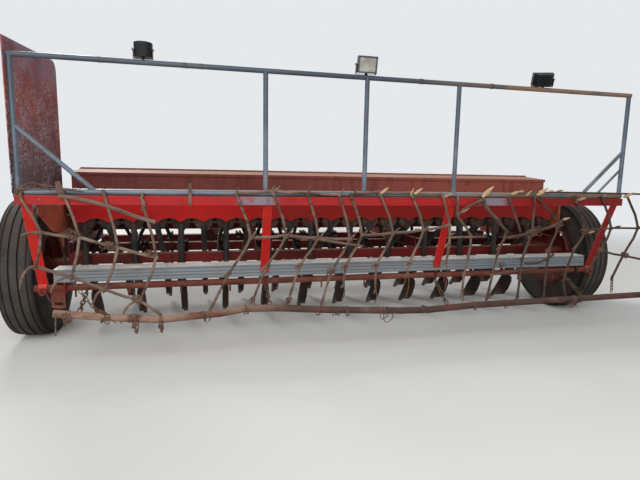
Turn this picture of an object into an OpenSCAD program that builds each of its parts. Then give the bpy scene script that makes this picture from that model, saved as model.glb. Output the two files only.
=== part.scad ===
// Trailed 24-row combine seed drill, seen from behind with its harrows hung up for the road.
// X runs across the machine, Y points the way it is towed, Z is up, all in millimetres.
// Places are worked out from the plane of the scalloped hem (y = 0); each module then moves
// by datum_y, so that the origin is on the ground under the middle of the whole machine.

/* [Seed rows] */
// Distance between two seed rows
row_pitch = 177.8; // [165:0.1:190]
// Number of seed rows
rows = 24; // [20:2:24]
// Outside diameter of a seed tube
tube_d = 46; // [36:1:52]

/* [Frame] */
// Square section of the cross bars
bar_s = 76; // [64:1:90]
// Height of the underside of the cross bars
bar_z = 602; // [570:1:640]
// Place of the rear rail
rear_rail_y = 110; // [105:1:130]
// Place of the rear row of tines' bar
tine_bar_y = 700; // [680:1:720]
// Distance from that bar to the front bar
bar_gap = 570; // [540:1:620]
// Width of the fore-and-aft members
member_w = 50; // [40:1:60]
// Depth of the fore-and-aft members
member_h = 100; // [80:1:120]
// Seed rows between the middle line and an inner member
member_rows = 4; // [3:1:5]
// Room between the last seed row's line and the end member's middle
end_room = 109; // [100:1:130]
// Thickness of the end plates
end_t = 8; // [5:1:12]
// Height of the end plates' top edge
end_top = 1175; // [1150:1:1200]

/* [Wheels] */
// Outside diameter of a tyre
tyre_d = 1116; // [1060:1:1160]
// Width of a tyre
tyre_w = 278; // [240:1:300]
// Distance between the middles of the two tyres
track = 4923; // [4880:1:5000]
// Place of the axle
axle_y = 316; // [290:1:340]
// Diameter of a stub axle
axle_d = 60; // [45:1:70]
// Rim seat diameter
rim_d = 610; // [560:1:640]
// Radial play of the hub on its axle
hub_play = 0.1; // [0.05:0.01:0.2]
// Diameter of the cross shaft that lifts the wheels
shaft_d = 76; // [60:1:90]
// Place of the cross shaft
shaft_y = 880; // [850:1:900]

/* [Seed box] */
// Width of the box beyond the outer row lines, each side
box_margin = 35; // [20:1:42]
// Place of the box's rear wall
box_y = 229; // [210:1:240]
// Depth of the box, front to back
box_depth = 622; // [560:1:640]
// Height of the box's rear edge
box_top = 1315; // [1280:1:1340]
// Height of the box's troughs
trough_z = 1000; // [985:1:1020]
// Height where the box's walls start to slope in
knee_z = 1170; // [1150:1:1200]
// Sheet thickness
sheet_t = 3; // [2:0.5:4]
// Rise of a lid from the edge to the ridge
lid_rise = 29; // [20:1:40]

/* [Hood] */
// Height of the hood's hem at its tips
hem_z = 940; // [930:1:944]
// Rise of each scallop
scallop_h = 30; // [15:1:36]
// Width of a tip between two scallops
tip_w = 12; // [6:1:24]

/* [Rear platform] */
// Place of the plank's rear face
plank_y = -392; // [-410:1:-380]
// Width of the plank
plank_w = 148; // [130:1:280]
// Height of the plank's underside
plank_z = 565; // [550:1:580]
// Depth of the plank's edge
plank_h = 91; // [80:1:120]
// Outside diameter of the rusty bar under the plank
under_d = 48; // [34:1:60]
// Rear face of the red top bar
top_bar_y = -600; // [-620:1:-590]
// Width of the top bar's flange
top_bar_w = 60; // [50:1:70]
// Height of the top bar's face
top_bar_h = 59; // [45:1:70]
// Overhang of the top bar, the pipes and the bar under the plank past the end plates
rail_over = 103; // [95:1:115]
// Diameter of the lower rail
lower_rail_d = 42; // [34:1:48]
// Diameter of the posts and the top rail
post_d = 34; // [26:1:42]
// Height of the top rail's underside
post_top = 2005; // [1900:1:2100]
// Distance of the inner posts from the middle line
inner_post_x = 726; // [700:1:760]
// Depth of the mesh screen, front to back
screen_depth = 1036; // [900:1:1100]

/* [Drawbar] */
// Place of the drawbar's nose
nose_y = 3330; // [3100:1:3500]
// Diameter of the hitch pin's hole
hitch_bore_d = 32; // [25:1:40]
// Height of the hitch's lower ear
hitch_z = 470; // [420:1:520]
// Length that the jack's leg can be drawn up
jack_travel = 300; // [200:1:320]

/* [Harrow] */
// Diameter of a harrow link
link_d = 16; // [10:1:20]
// Diameter of a harrow cross bar
cross_d = 21; // [17:1:26]
// Diameter of the drag pipe
drag_d = 50; // [38:1:60]

/* [Hidden] */
$fn = 32;

// Clearance between faces that pass each other
gap = 0.3;

half_rows = rows * row_pitch / 2;
row_x = [for (i = [0 : rows - 1]) (i + 0.5) * row_pitch - half_rows];
rear_row_x = [for (i = [0 : 2 : rows - 1]) row_x[i]];
front_row_x = [for (i = [1 : 2 : rows - 1]) row_x[i]];

front_bar_y = tine_bar_y + bar_gap;
bar_top = bar_z + bar_s;
member_top = bar_top + member_h;
member_x = member_rows * row_pitch;
end_member_x = half_rows - row_pitch / 2 + end_room;
end_x = end_member_x + member_w / 2;
members_x = [-end_member_x, -member_x, member_x, end_member_x];
rail_half = end_x + end_t + rail_over;
end_post_x = rail_half - post_d / 2;
outer_leg_x = end_x + end_t + 48;

tyre_r = tyre_d / 2;
wheel_x = track / 2;
axle_z = tyre_r;
shaft_z = member_top + shaft_d / 2 + 2;
arm_x = end_x + end_t + 3;
arm_t = 25;
hub_in_x = arm_x + arm_t + 8;
hub_out_x = wheel_x + 60;
sprocket_x = hub_in_x + 12;
sprocket_t = 8;
feed_sprocket_r = 96;
wheel_sprocket_r = 72;

box_half = half_rows + box_margin;
box_mid_y = box_y + box_depth / 2;
box_front_y = box_y + box_depth;
ridge_z = box_top + lid_rise;
trough_w = 50;
trough_in = 116;
valley_z = trough_z + 120;
hinge_d = 10;
ridge_w = 32;
hinge_y = ridge_w / 2 + hinge_d / 2 + gap;
hinge_z = ridge_z + 4;

cup_y = [8, 110];
cup_top = 1040;
cup_z = hem_z + 5;
drop_y = cup_y[0] + tube_d / 2 + 1;
feed_y = 85;
feed_z = 995;
feed_d = 24;
drop_z = cup_z - 20;

deck_z = plank_z + plank_h;
under_y = -350;
under_z = plank_z - 45;
rail_y = top_bar_y + 31;
top_bar_z = end_top;
lower_rail_z = top_bar_z + lower_rail_d / 2;
post_z = lower_rail_z;
top_rail_z = post_top + post_d / 2;
harrow_y = top_bar_y - cross_d / 2 - gap;
drag_y = harrow_y - 36;
tongue_w = 100;
nose_t = 15;
pin_y = nose_y + nose_t + 55;
ear_t = 25;
ear_gap = 65;
head_w = 90;
jack_x = tongue_w / 2 + 42;
jack_y = nose_y - 130;

// The middle between the drag pipe's back and the clevis's nose lies over the origin
datum_y = -(drag_y - drag_d / 2 + pin_y + head_w / 2) / 2;

// Small helpers

module at_datum() translate([0, datum_y, 0]) children();

// A profile drawn in y and z, drawn out along x about its middle
module along_x(length) rotate([90, 0, 90]) linear_extrude(length, center = true) children();

// A profile drawn in y and z, drawn out along x from one side to the other
module across(x0, x1) translate([(x0 + x1) / 2, 0, 0]) along_x(x1 - x0) children();

module block(low, high) translate(low) cube(high - low);

// Turns what stands along z so that it points along a vector
module pointed(v) rotate([0, acos(v[2] / norm(v)), atan2(v[1], v[0])]) children();

module rod(p, q, d) translate(p) pointed(q - p) cylinder(h = norm(q - p), d = d);

// A bent rod through a list of points, with a forged knuckle at each bend, its poles inside the rod
module bent_rod(points, d, knuckle = 1.06) {
    for (i = [0 : len(points) - 2]) rod(points[i], points[i + 1], d);
    for (i = [1 : 1 : len(points) - 2]) translate(points[i]) pointed(points[i] - points[i - 1])
        sphere(d = d * knuckle);
}

function side_of(a, b) = let (d = (b - a) / norm(b - a)) [-d[1], d[0]];
function mitre(p, i) =
    i == 0 ? side_of(p[0], p[1]) :
    i == len(p) - 1 ? side_of(p[i - 1], p[i]) :
    let (s = side_of(p[i - 1], p[i]) + side_of(p[i], p[i + 1])) 2 * s / (s * s);

// A folded sheet: a line of points made thick towards its left
module folded(points, t) polygon(concat(points,
    [for (i = [len(points) - 1 : -1 : 0]) points[i] + t * mitre(points, i)]));

// Frame

module cross_bars() color("firebrick") at_datum() {
    for (y = [rear_rail_y, tine_bar_y, front_bar_y])
        translate([0, y, bar_z + bar_s / 2]) cube([2 * end_x, bar_s, bar_s], center = true);
}

module members() color("firebrick") at_datum() {
    web_t = 7;
    for (x = members_x) translate([x, 0, bar_top]) difference() {
        block([-member_w / 2, rear_rail_y - bar_s / 2, 0], [member_w / 2, front_bar_y + bar_s / 2, member_h]);
        side = x < 0 ? 1 : -1;
        translate([side * web_t, (rear_rail_y + front_bar_y) / 2, member_h / 2])
            cube([member_w, front_bar_y - rear_rail_y + bar_s + 2, member_h - 2 * web_t], center = true);
    }
}

// The end plates carry the box and the wheel shaft, with an arch over the drive.
// The left one also reaches back to the top bar; the right one ends just behind the hood.
right_back = -10;

module end_outline() {
    arch_r = 115;
    arch_y = 95;
    arch_z = 760;
    difference() {
        polygon([
            [top_bar_y + top_bar_w, end_top], [box_front_y + 10, end_top],
            [shaft_y + 80, end_top - 140], [shaft_y + 80, bar_z],
            [arch_y + arch_r + 12, bar_z], [arch_y + arch_r + 12, arch_z],
            [arch_y - arch_r - 12, arch_z], [arch_y - arch_r - 50, 870],
            [-260, 905], [top_bar_y + top_bar_w, 1060]
        ]);
        translate([arch_y, arch_z]) circle(r = arch_r);
        translate([shaft_y, shaft_z]) circle(d = shaft_d + 4);
        translate([feed_y, feed_z]) circle(d = feed_d + 4);
    }
}

module end_plates() color("brown") at_datum() {
    across(-end_x - end_t, -end_x) end_outline();
    across(end_x, end_x + end_t) difference() {
        end_outline();
        translate([top_bar_y, bar_z - 1]) square([right_back - top_bar_y, end_top - bar_z + 2]);
    }
}

// Stands that carry the troughs, and the bearings of the cross shaft, on each member
module box_stands() color("firebrick") at_datum() {
    stand_t = 12;
    saddle = trough_z - sheet_t;
    rear_seat = box_y + trough_in + 5;
    front_seat = box_front_y - trough_in - trough_w + 5;
    bearing_w = 90;
    for (x = members_x) {
        across(x - stand_t / 2, x + stand_t / 2) polygon([
            [rear_seat - 50, member_top], [front_seat + 70, member_top],
            [front_seat + 40, saddle], [front_seat, saddle], [front_seat - 40, saddle - 100],
            [rear_seat + 80, saddle - 100], [rear_seat + 40, saddle], [rear_seat, saddle]
        ]);
        translate([x, shaft_y, member_top]) difference() {
            block([-22, -bearing_w / 2, 0], [22, bearing_w / 2, shaft_d + 16]);
            translate([-30, 0, shaft_z - member_top]) rotate([0, 90, 0])
                cylinder(h = 60, d = shaft_d + 2 * gap);
        }
    }
}

// Drawbar

beam_w = 60;
// the foot stands between the clamps of two tines
beam_foot = [6 * row_pitch + 28, front_bar_y - bar_s / 2 + 6];
tongue_l = 480;
beam_head = [tongue_w / 2 + 10, nose_y - 230];
beam_run = beam_head - beam_foot;

module beam_box(extra = 0) translate([beam_foot[0], beam_foot[1], bar_top])
    rotate([0, 0, atan2(beam_run[1], beam_run[0])])
    block([0, -beam_w / 2 - extra, -extra], [norm(beam_run) + 40, beam_w / 2 + extra, member_h + extra]);

module drawbar_beams() color("firebrick") at_datum() {
    for (side = [0, 1]) mirror([side, 0, 0]) difference() {
        beam_box();
        block([-tongue_w / 2, nose_y - tongue_l - 120, bar_top - 1], [tongue_w / 2, nose_y, member_top + 1]);
    }
}

// Inner face of a beam, as the distance from the middle line at a place along the machine
function beam_inside(y) = beam_foot[0] + beam_run[0] * (y - beam_foot[1]) / beam_run[1]
    - (beam_w / 2 + gap) * norm(beam_run) / beam_run[1];

brace_y = front_bar_y + 520;
brace_s = 60;
brace_z = bar_top + 20;

// The lift ram is pinned to a lug on the brace and to the lever of the cross shaft
lug_t = 20;
ram_pin_d = 16;
lever_eye = [25, 108];
ram_lug = [0, brace_y, brace_z + brace_s + 50];
ram_eye = [0, shaft_y + lever_eye[0], shaft_z + lever_eye[1]];

module drawbar_tongue() color("firebrick") at_datum() {
    rear = brace_y - brace_s / 2;
    fore = brace_y + brace_s / 2;
    block([-tongue_w / 2, nose_y - tongue_l, bar_top], [tongue_w / 2, nose_y, member_top]);
    translate([0, 0, brace_z]) linear_extrude(brace_s) polygon([
        [-beam_inside(rear), rear], [beam_inside(rear), rear],
        [beam_inside(fore), fore], [-beam_inside(fore), fore]
    ]);
    // lug of the lift ram on the brace
    difference() {
        block([-lug_t / 2, rear, brace_z + brace_s], [lug_t / 2, fore, ram_lug[2] + 20]);
        translate([-lug_t, ram_lug[1], ram_lug[2]]) rotate([0, 90, 0])
            cylinder(h = 2 * lug_t, d = ram_pin_d + 2 * gap);
    }
}

// Height plate and clevis, with the hole for the hitch pin
module hitch_head() color("dimgray") at_datum() {
    block([-tongue_w / 2, nose_y, hitch_z - 22], [tongue_w / 2, nose_y + nose_t, member_top]);
    difference() {
        for (z = [hitch_z, hitch_z + ear_t + ear_gap]) translate([0, 0, z]) {
            block([-head_w / 2, nose_y + nose_t, 0], [head_w / 2, pin_y, ear_t]);
            translate([0, pin_y, 0]) cylinder(h = ear_t, d = head_w);
        }
        translate([0, pin_y, hitch_z - 1]) cylinder(h = 2 * ear_t + ear_gap + 2, d = hitch_bore_d);
    }
}

jack_tube = 60;
jack_leg_d = 48;
jack_low = 380;
jack_high = member_top + 130;

module jack_sleeve() color("gray") at_datum() {
    difference() {
        translate([jack_x, jack_y, jack_low]) cylinder(h = jack_high - jack_low, d = jack_tube);
        translate([jack_x, jack_y, jack_low - 1])
            cylinder(h = jack_high - jack_low - 12, d = jack_leg_d + 2 * gap);
    }
    difference() {
        block([tongue_w / 2, jack_y - 30, bar_top + 5], [jack_x, jack_y + 30, member_top - 5]);
        translate([jack_x, jack_y, bar_top]) cylinder(h = member_h, d = jack_tube - 2);
    }
    // crank on top
    translate([jack_x, jack_y, jack_high]) cylinder(h = 26, d = 22);
    rod([jack_x, jack_y, jack_high + 14], [jack_x, jack_y - 150, jack_high + 14], 12);
    rod([jack_x, jack_y - 144, jack_high + 14], [jack_x, jack_y - 144, jack_high + 90], 14);
}

module jack_leg() color("silver") at_datum() {
    foot_d = 170;
    head = min(jack_low + 90, jack_high - 12 - jack_travel - 10);
    translate([jack_x, jack_y, 8]) cylinder(h = head - 8, d = jack_leg_d);
    translate([jack_x, jack_y, 0]) cylinder(h = 8, d = foot_d);
}

// Wheels

module lift_shaft() color("maroon") at_datum() {
    translate([-arm_x, shaft_y, shaft_z]) rotate([0, 90, 0]) cylinder(h = 2 * arm_x, d = shaft_d);
    // lever that the ram pushes
    translate([0, shaft_y, shaft_z]) rotate([90, 0, 90]) linear_extrude(lug_t, center = true) difference() {
        union() {
            circle(d = shaft_d + 30);
            polygon([[-50, 0], [50, 0], lever_eye + [21, 22], lever_eye + [-21, 22]]);
        }
        translate(lever_eye) circle(d = ram_pin_d + 2 * gap);
    }
}

module axle(side) at_datum() {
    run = [axle_y - shaft_y, axle_z - shaft_z];
    length = norm(run);
    x0 = side > 0 ? arm_x : -arm_x - arm_t;
    across(x0, x0 + arm_t) translate([shaft_y, shaft_z]) rotate(atan2(run[1], run[0])) {
        circle(d = shaft_d + 50);
        translate([length, 0]) circle(d = axle_d + 40);
        polygon([
            [0, -shaft_d / 2 - 25], [length, -axle_d / 2 - 20],
            [length, axle_d / 2 + 20], [0, shaft_d / 2 + 25]
        ]);
    }
    translate([side * (arm_x + arm_t - 1), axle_y, axle_z]) rotate([0, side * 90, 0])
        cylinder(h = hub_out_x + 12 - arm_x - arm_t, d = axle_d);
}

module axle_left() color("maroon") axle(-1);
module axle_right() color("maroon") axle(1);

// Single ram that turns the cross shaft, with a forked end round its lever and its lug
module lift_ram() color("dimgray") at_datum() {
    cheek_t = 10;
    cheek_h = 32;
    fork = 44;
    barrel_d = 70;
    barrel_at = 330;
    reach = lug_t / 2 + gap + cheek_t;
    run = ram_lug - ram_eye;
    length = norm(run);
    translate(ram_eye) rotate([atan2(run[2], run[1]), 0, 0]) {
        for (y = [0, length]) translate([-reach - 6, y, 0]) rotate([0, 90, 0])
            cylinder(h = 2 * reach + 12, d = ram_pin_d);
        for (side = [0, 1]) mirror([side, 0, 0]) for (y = [-18, length - fork - 16])
            block([reach - cheek_t, y, -cheek_h / 2], [reach, y + fork + 34, cheek_h / 2]);
        for (y = [fork, length - fork - 16]) block([-reach, y, -cheek_h / 2], [reach, y + 16, cheek_h / 2]);
        translate([0, fork, 0]) rotate([-90, 0, 0]) cylinder(h = barrel_at, d = 28);
        translate([0, barrel_at, 0]) rotate([-90, 0, 0])
            cylinder(h = length - fork - barrel_at, d = barrel_d);
    }
}

// Tyre profile, drawn as radius and offset from the tyre's middle plane
crown_drop = 14;
bead_r = rim_d / 2;
side_r = bead_r + 0.42 * (tyre_r - bead_r);
carcass_t = 24;
half_w = tyre_w / 2;
groove_w = 13;
groove_h = 12;
grooves = [-82, -28, 28, 82];

function crown(u) = tyre_r - crown_drop * pow(abs(u), 2.2);

module tyre_profile() difference() {
    polygon(concat(
        [[bead_r, -0.76 * half_w], [bead_r + 16, -0.76 * half_w], [bead_r + 40, -0.84 * half_w],
         [side_r, -half_w], [side_r + 60, -0.98 * half_w], [tyre_r - crown_drop - 26, -0.91 * half_w]],
        [for (i = [-5 : 5]) let (u = i / 5) [crown(u), 0.86 * u * half_w]],
        [[tyre_r - crown_drop - 26, 0.91 * half_w], [side_r + 60, 0.98 * half_w], [side_r, half_w],
         [bead_r + 40, 0.84 * half_w], [bead_r + 16, 0.76 * half_w], [bead_r, 0.76 * half_w]]
    ));
    for (x = grooves) translate([tyre_r - groove_h, x - groove_w / 2]) square([groove_h + 5, groove_w]);
    polygon([
        [bead_r - 1, -0.76 * half_w + 20], [bead_r + 40, -0.84 * half_w + 20], [side_r, -half_w + 16],
        [side_r + 60, -0.98 * half_w + 16], [tyre_r - crown_drop - 44, -0.85 * half_w + 8],
        [tyre_r - crown_drop - carcass_t, -0.6 * half_w], [tyre_r - carcass_t - 4, 0],
        [tyre_r - crown_drop - carcass_t, 0.6 * half_w], [tyre_r - crown_drop - 44, 0.85 * half_w - 8],
        [side_r + 60, 0.98 * half_w - 16], [side_r, half_w - 16],
        [bead_r + 40, 0.84 * half_w - 20], [bead_r - 1, 0.76 * half_w - 20]
    ]);
}

module on_wheel(side) at_datum()
    translate([side * wheel_x, axle_y, axle_z]) rotate([0, side * 90, 0]) children();

module tyre(side) on_wheel(side) rotate_extrude($fn = 96) tyre_profile();

// Rim, disc and hub in one, with hand holes in the disc
module rim(side) on_wheel(side) {
    bore_r = axle_d / 2 + hub_play;
    seat = bead_r - gap;
    lip = 0.76 * half_w + gap;
    hub_r = 72;
    disc_x = 24;
    difference() {
        rotate_extrude($fn = 96) polygon([
            [bore_r, hub_in_x - wheel_x], [hub_r - 16, hub_in_x - wheel_x], [hub_r - 16, -70],
            [hub_r, -60], [hub_r, disc_x - 6], [150, disc_x - 6], [200, disc_x + 18], [248, disc_x - 6],
            [248, -30], [seat - 8, -52], [seat - 8, -lip - 4], [seat + 14, -lip - 4],
            [seat + 14, -lip], [seat, -lip],
            [seat, -44], [256, -24], [256, 40], [seat, 60], [seat, lip],
            [seat + 14, lip], [seat + 14, lip + 4], [seat - 8, lip + 4], [seat - 8, 66],
            [248, 46], [248, disc_x + 6], [200, disc_x + 30], [150, disc_x + 6], [hub_r, disc_x + 6],
            [hub_r - 4, hub_out_x - wheel_x - 8], [hub_r - 14, hub_out_x - wheel_x],
            [bore_r, hub_out_x - wheel_x]
        ]);
        for (a = [0 : 60 : 359]) rotate(a) translate([200, 0, disc_x - 30]) cylinder(h = 90, d = 46);
    }
}

module tyre_left() color("dimgray") tyre(-1);

// The left hub also carries the sprocket of the seed drive
module rim_left() color("darkred") {
    rim(-1);
    on_wheel(-1) translate([0, 0, sprocket_x - wheel_x]) difference() {
        toothed(wheel_sprocket_r, 18, sprocket_t);
        cylinder(h = 2 * sprocket_t, d = 90, center = true);
    }
}
module tyre_right() color("dimgray") tyre(1);
module rim_right() color("darkred") rim(1);

// Seed box

wall_in = box_y + sheet_t;
board_t = 5;
// each pan ends in a flange against the middle board
flange_h = 18;
flange_y = box_mid_y - board_t / 2 - gap - sheet_t;

// Inner face of the rear pan, a clearance off
function pan_inside(c) = [
    [wall_in + c, box_top], [wall_in + c, knee_z], [wall_in + trough_in + c, trough_z + c],
    [wall_in + trough_in + trough_w, trough_z + c], [flange_y - c, valley_z + c],
    [flange_y - c, valley_z + flange_h]
];
pan_line = pan_inside(0);
// turned rim along the pan's top edge
rim_out = 7;

module pan(side) at_datum() {
    translate([0, box_mid_y, 0]) mirror([0, side, 0]) translate([0, -box_mid_y, 0]) along_x(2 * box_half) {
        folded([for (i = [len(pan_line) - 1 : -1 : 0]) pan_line[i]], sheet_t);
        polygon([
            [box_y - rim_out, box_top], [box_y - rim_out, box_top - 14],
            [box_y - rim_out + sheet_t, box_top - 14],
            [box_y - rim_out + sheet_t, box_top - sheet_t], [wall_in, box_top - sheet_t], [wall_in, box_top]
        ]);
    }
}

module box_rear_pan() color("maroon") pan(0);
module box_front_pan() color("maroon") pan(1);

// Middle board, both ends, the bulkhead on the middle line and the ridge that carries the lids
module box_walls() color("maroon") at_datum() {
    bulk_t = 4;
    inside = pan_inside(gap);
    rear = concat(inside, [[box_mid_y, valley_z + flange_h + gap]]);
    across(-box_half, box_half) polygon([
        [box_mid_y - board_t / 2, valley_z], [box_mid_y + board_t / 2, valley_z],
        [box_mid_y + board_t / 2, ridge_z - 12], [box_mid_y + ridge_w / 2, ridge_z - 12],
        [box_mid_y + ridge_w / 2, ridge_z + 14], [box_mid_y - ridge_w / 2, ridge_z + 14],
        [box_mid_y - ridge_w / 2, ridge_z - 12], [box_mid_y - board_t / 2, ridge_z - 12]
    ]);
    for (x = [-box_half, 0, box_half]) {
        t0 = x < 0 ? 0 : x > 0 ? -bulk_t : -bulk_t / 2;
        across(x + t0, x + t0 + bulk_t) polygon(concat(
            rear,
            [for (i = [len(rear) - 1 : -1 : 0]) [2 * box_mid_y - rear[i][0], rear[i][1]]],
            [[box_mid_y + ridge_w, hinge_z - 8], [box_mid_y - ridge_w, hinge_z - 8]]
        ));
    }
}

// A long lid of one half of the machine, hinged beside the ridge, with its edge turned down
module lid(end, fore) at_datum() {
    middle_gap = 3;
    x0 = end > 0 ? middle_gap : -box_half - 6;
    x1 = end > 0 ? box_half + 6 : -middle_gap;
    reach = box_mid_y - box_y + rim_out + 2;
    turn = 20;
    translate([0, box_mid_y, 0]) mirror([0, fore, 0]) {
        across(x0, x1) folded([
            [-reach, box_top - turn], [-reach, box_top + 1], [-hinge_y, hinge_z - 6]
        ], sheet_t);
        translate([x0, -hinge_y, hinge_z]) rotate([0, 90, 0]) cylinder(h = x1 - x0, d = hinge_d);
    }
}

module lid_rear_left() color("darkred") lid(-1, 0);
module lid_rear_right() color("darkred") lid(1, 0);
module lid_front_left() color("darkred") lid(-1, 1);
module lid_front_right() color("darkred") lid(1, 1);

// Hood over the feed cups, with a scallop between every two seed rows

module seed_hood() color("red") at_datum() {
    half_scallop = (row_pitch - tip_w) / 2;
    scallop_r = (half_scallop * half_scallop + scallop_h * scallop_h) / (2 * scallop_h);
    hood_top = knee_z + 2;
    shelf_z = 1105;
    hem_half = half_rows - row_pitch / 2 + 40;
    difference() {
        along_x(2 * end_x - 2 * gap) folded([
            [box_y - gap - sheet_t / 3, hood_top], [0, shelf_z], [0, hem_z]
        ], sheet_t);
        for (i = [0 : rows - 2]) translate([row_x[i] + row_pitch / 2, -20, hem_z + scallop_h - scallop_r])
            rotate([-90, 0, 0]) cylinder(h = 60, r = scallop_r, $fn = 96);
        for (side = [0, 1]) mirror([side, 0, 0]) translate([0, 30, 0]) rotate([90, 0, 0]) linear_extrude(60)
            polygon([[hem_half, hem_z - 1], [end_x + 1, shelf_z], [end_x + 1, hem_z - 1]]);
    }
}

module feed_cups() color("dimgray") at_datum() {
    cup_w = 84;
    difference() {
        union() {
            block([-end_x, 40, cup_top], [end_x, 130, cup_top + 30]);
            for (x = row_x) {
                block([x - cup_w / 2, cup_y[0], cup_z + 18], [x + cup_w / 2, cup_y[1], cup_top]);
                block([x - 26, cup_y[0], cup_z], [x + 26, cup_y[0] + 54, cup_z + 18]);
                translate([x, drop_y, drop_z]) cylinder(h = cup_z - drop_z, d = tube_d - 6);
            }
        }
        translate([-end_x - 1, feed_y, feed_z]) rotate([0, 90, 0])
            cylinder(h = 2 * end_x + 2, d = feed_d + 2 * gap);
    }
}

module toothed(r, teeth, t) linear_extrude(t, center = true) union() {
    circle(r = r - 6);
    for (i = [0 : teeth - 1]) rotate(i * 360 / teeth) polygon([[r - 9, -8], [r, -3], [r, 3], [r - 9, 8]]);
}

module feed_shaft() color("gray") at_datum() {
    translate([-sprocket_x - 12, feed_y, feed_z]) rotate([0, 90, 0])
        cylinder(h = sprocket_x + 12 + end_x + end_t + 6, d = feed_d);
    translate([-sprocket_x, feed_y, feed_z]) rotate([0, 90, 0]) toothed(feed_sprocket_r, 24, sprocket_t);
}

// Roller chain from the wheel to the feed shaft, as one closed band
module drive_chain() color("saddlebrown") at_datum() {
    band = 10;
    chain_w = 14;
    across(-sprocket_x - chain_w / 2, -sprocket_x + chain_w / 2) translate([feed_y, feed_z]) difference() {
        chain_loop(gap + band);
        chain_loop(gap);
    }
}

// Outline round both sprockets, the wheel's with room to turn
module chain_loop(out) hull() {
    turn_room = 6;
    circle(r = feed_sprocket_r + out, $fn = 64);
    translate([axle_y - feed_y, axle_z - feed_z]) circle(r = wheel_sprocket_r + turn_room + out, $fn = 64);
}

// Seed tubes, tines and boots. A tine trails behind its bar; the boot rides behind the tine.

boot_back = 435;
boot_top = 330;
collar_h = 7;
clamp_t = 10;
// swell of a tube at a bend
tube_bend = 1.02;

module tubes(xs, bar_y, knee) at_datum() {
    foot_y = bar_y - boot_back;
    for (x = xs) bent_rod([
        [x, drop_y, drop_z - gap], [x, drop_y, knee],
        [x, foot_y, boot_top + 70], [x, foot_y, boot_top + collar_h + gap]
    ], tube_d, tube_bend);
}

module tubes_rear() color("darkslategray") tubes(rear_row_x, tine_bar_y, 560);
module tubes_front() color("darkslategray") tubes(front_row_x, front_bar_y, drop_z - 45);

// Bent flat shank: straight back from its clamp, round a bow and forward to the point
bow_r = 150;
shank_t = 14;
straight_t = shank_t + 2;
shank_turn = 215;
tip_z = 105;
bow = [-250, bar_z - clamp_t - shank_t / 2 + 1 - bow_r];
shank_out = [cos(shank_turn), sin(shank_turn)];
shank_dir = [-sin(shank_turn), cos(shank_turn)];
bow_end = bow + bow_r * shank_out;

// Place at a height on the straight shank, measured from its middle towards the back
function on_shank(z, back) = let (p = bow_end + back * shank_out) p + shank_dir * (z - p[1]) / shank_dir[1];

module tine_outline() {
    tip = on_shank(tip_z, 0);
    top = bow_end - 6 * shank_dir;
    half = straight_t / 2;
    difference() {
        translate(bow) circle(r = bow_r + shank_t / 2);
        translate(bow) circle(r = bow_r - shank_t / 2);
        translate(bow) polygon([[0, 0], 400 * shank_out, [0, -400], [400, -400], [400, 400], [0, 400]]);
    }
    translate([bow[0], bow[1] + bow_r - shank_t / 2]) square([-bow[0] + 36, shank_t]);
    polygon([top - half * shank_out, top + half * shank_out, tip + half * shank_out, tip - half * shank_out]);
    // sowing point
    polygon([tip + 12 * shank_out - 10 * shank_dir, tip - 12 * shank_out - 24 * shank_dir,
        tip - 13 * shank_out + 30 * shank_dir, tip + 62 * shank_dir - 14 * shank_out,
        tip + 52 * shank_dir + 10 * shank_out]);
}

module tines(xs, bar_y) at_datum() for (x = xs) translate([x, bar_y, 0]) {
    shank_w = 32;
    clamp_w = 58;
    plate_t = clamp_t;
    across(-shank_w / 2, shank_w / 2) tine_outline();
    // clamp plates above and below the bar, with their bolts
    for (z = [bar_z - plate_t, bar_top])
        block([-clamp_w / 2, -bar_s / 2 - 22, z], [clamp_w / 2, bar_s / 2 + 22, z + plate_t]);
    for (y = [-bar_s / 2 - 10, bar_s / 2 + 10]) for (sx = [-18, 18])
        translate([sx, y, bar_z - plate_t]) cylinder(h = bar_s + 2 * plate_t + 10, d = 14);
    // trip spring on its rod, and the lug that it pulls on
    across(-8, 8) polygon([[-210, bar_z - 22], [-176, bar_z - 22], [-184, bar_z + 56], [-206, bar_z + 56]]);
    rod([0, -bar_s / 2 - 14, bar_z + 38], [0, -214, bar_z + 38], 12);
    rod([0, -bar_s / 2 - 20, bar_z + 38], [0, -172, bar_z + 38], 40);
}

module tines_rear() color("dimgray") tines(rear_row_x, tine_bar_y);
module tines_front() color("dimgray") tines(front_row_x, front_bar_y);

// Boot: a wide flat funnel that lies against the back of the shank and ends at the sowing point
module boots(xs, bar_y) at_datum() for (x = xs) translate([x, bar_y, 0]) {
    boot_w = 50;
    off = straight_t / 2 + gap;
    foot = on_shank(tip_z + 36, off);
    across(-boot_w / 2, boot_w / 2) polygon([
        [-boot_back - 26, boot_top], on_shank(boot_top, off), foot, foot + [-10, -32], foot + [-36, -42],
        foot + [-120, -16], [-boot_back + 14, 200], [-boot_back - 26, boot_top - 50]
    ]);
    translate([0, -boot_back, boot_top]) cylinder(h = collar_h, d = tube_d + 4);
}

module boots_rear() color("dimgray") boots(rear_row_x, tine_bar_y);
module boots_front() color("dimgray") boots(front_row_x, front_bar_y);

// Rear platform

plank_half = half_rows + 24;

module plank() color("lightsteelblue") at_datum() across(-plank_half, plank_half) {
    wall = 4;
    groove = [0.24, 0.5, 0.76];
    difference() {
        polygon(concat(
            [[plank_y, plank_z]],
            [for (g = groove) for (k = [[0, -7], [6, -3], [6, 3], [0, 7]])
                [plank_y + k[0], plank_z + g * plank_h + k[1]]],
            [[plank_y, deck_z], [plank_y + plank_w, deck_z], [plank_y + plank_w, plank_z]]
        ));
        translate([plank_y + 6 + wall, plank_z + wall])
            square([plank_w - 2 * wall - 6, plank_h - 2 * wall]);
    }
}

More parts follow.
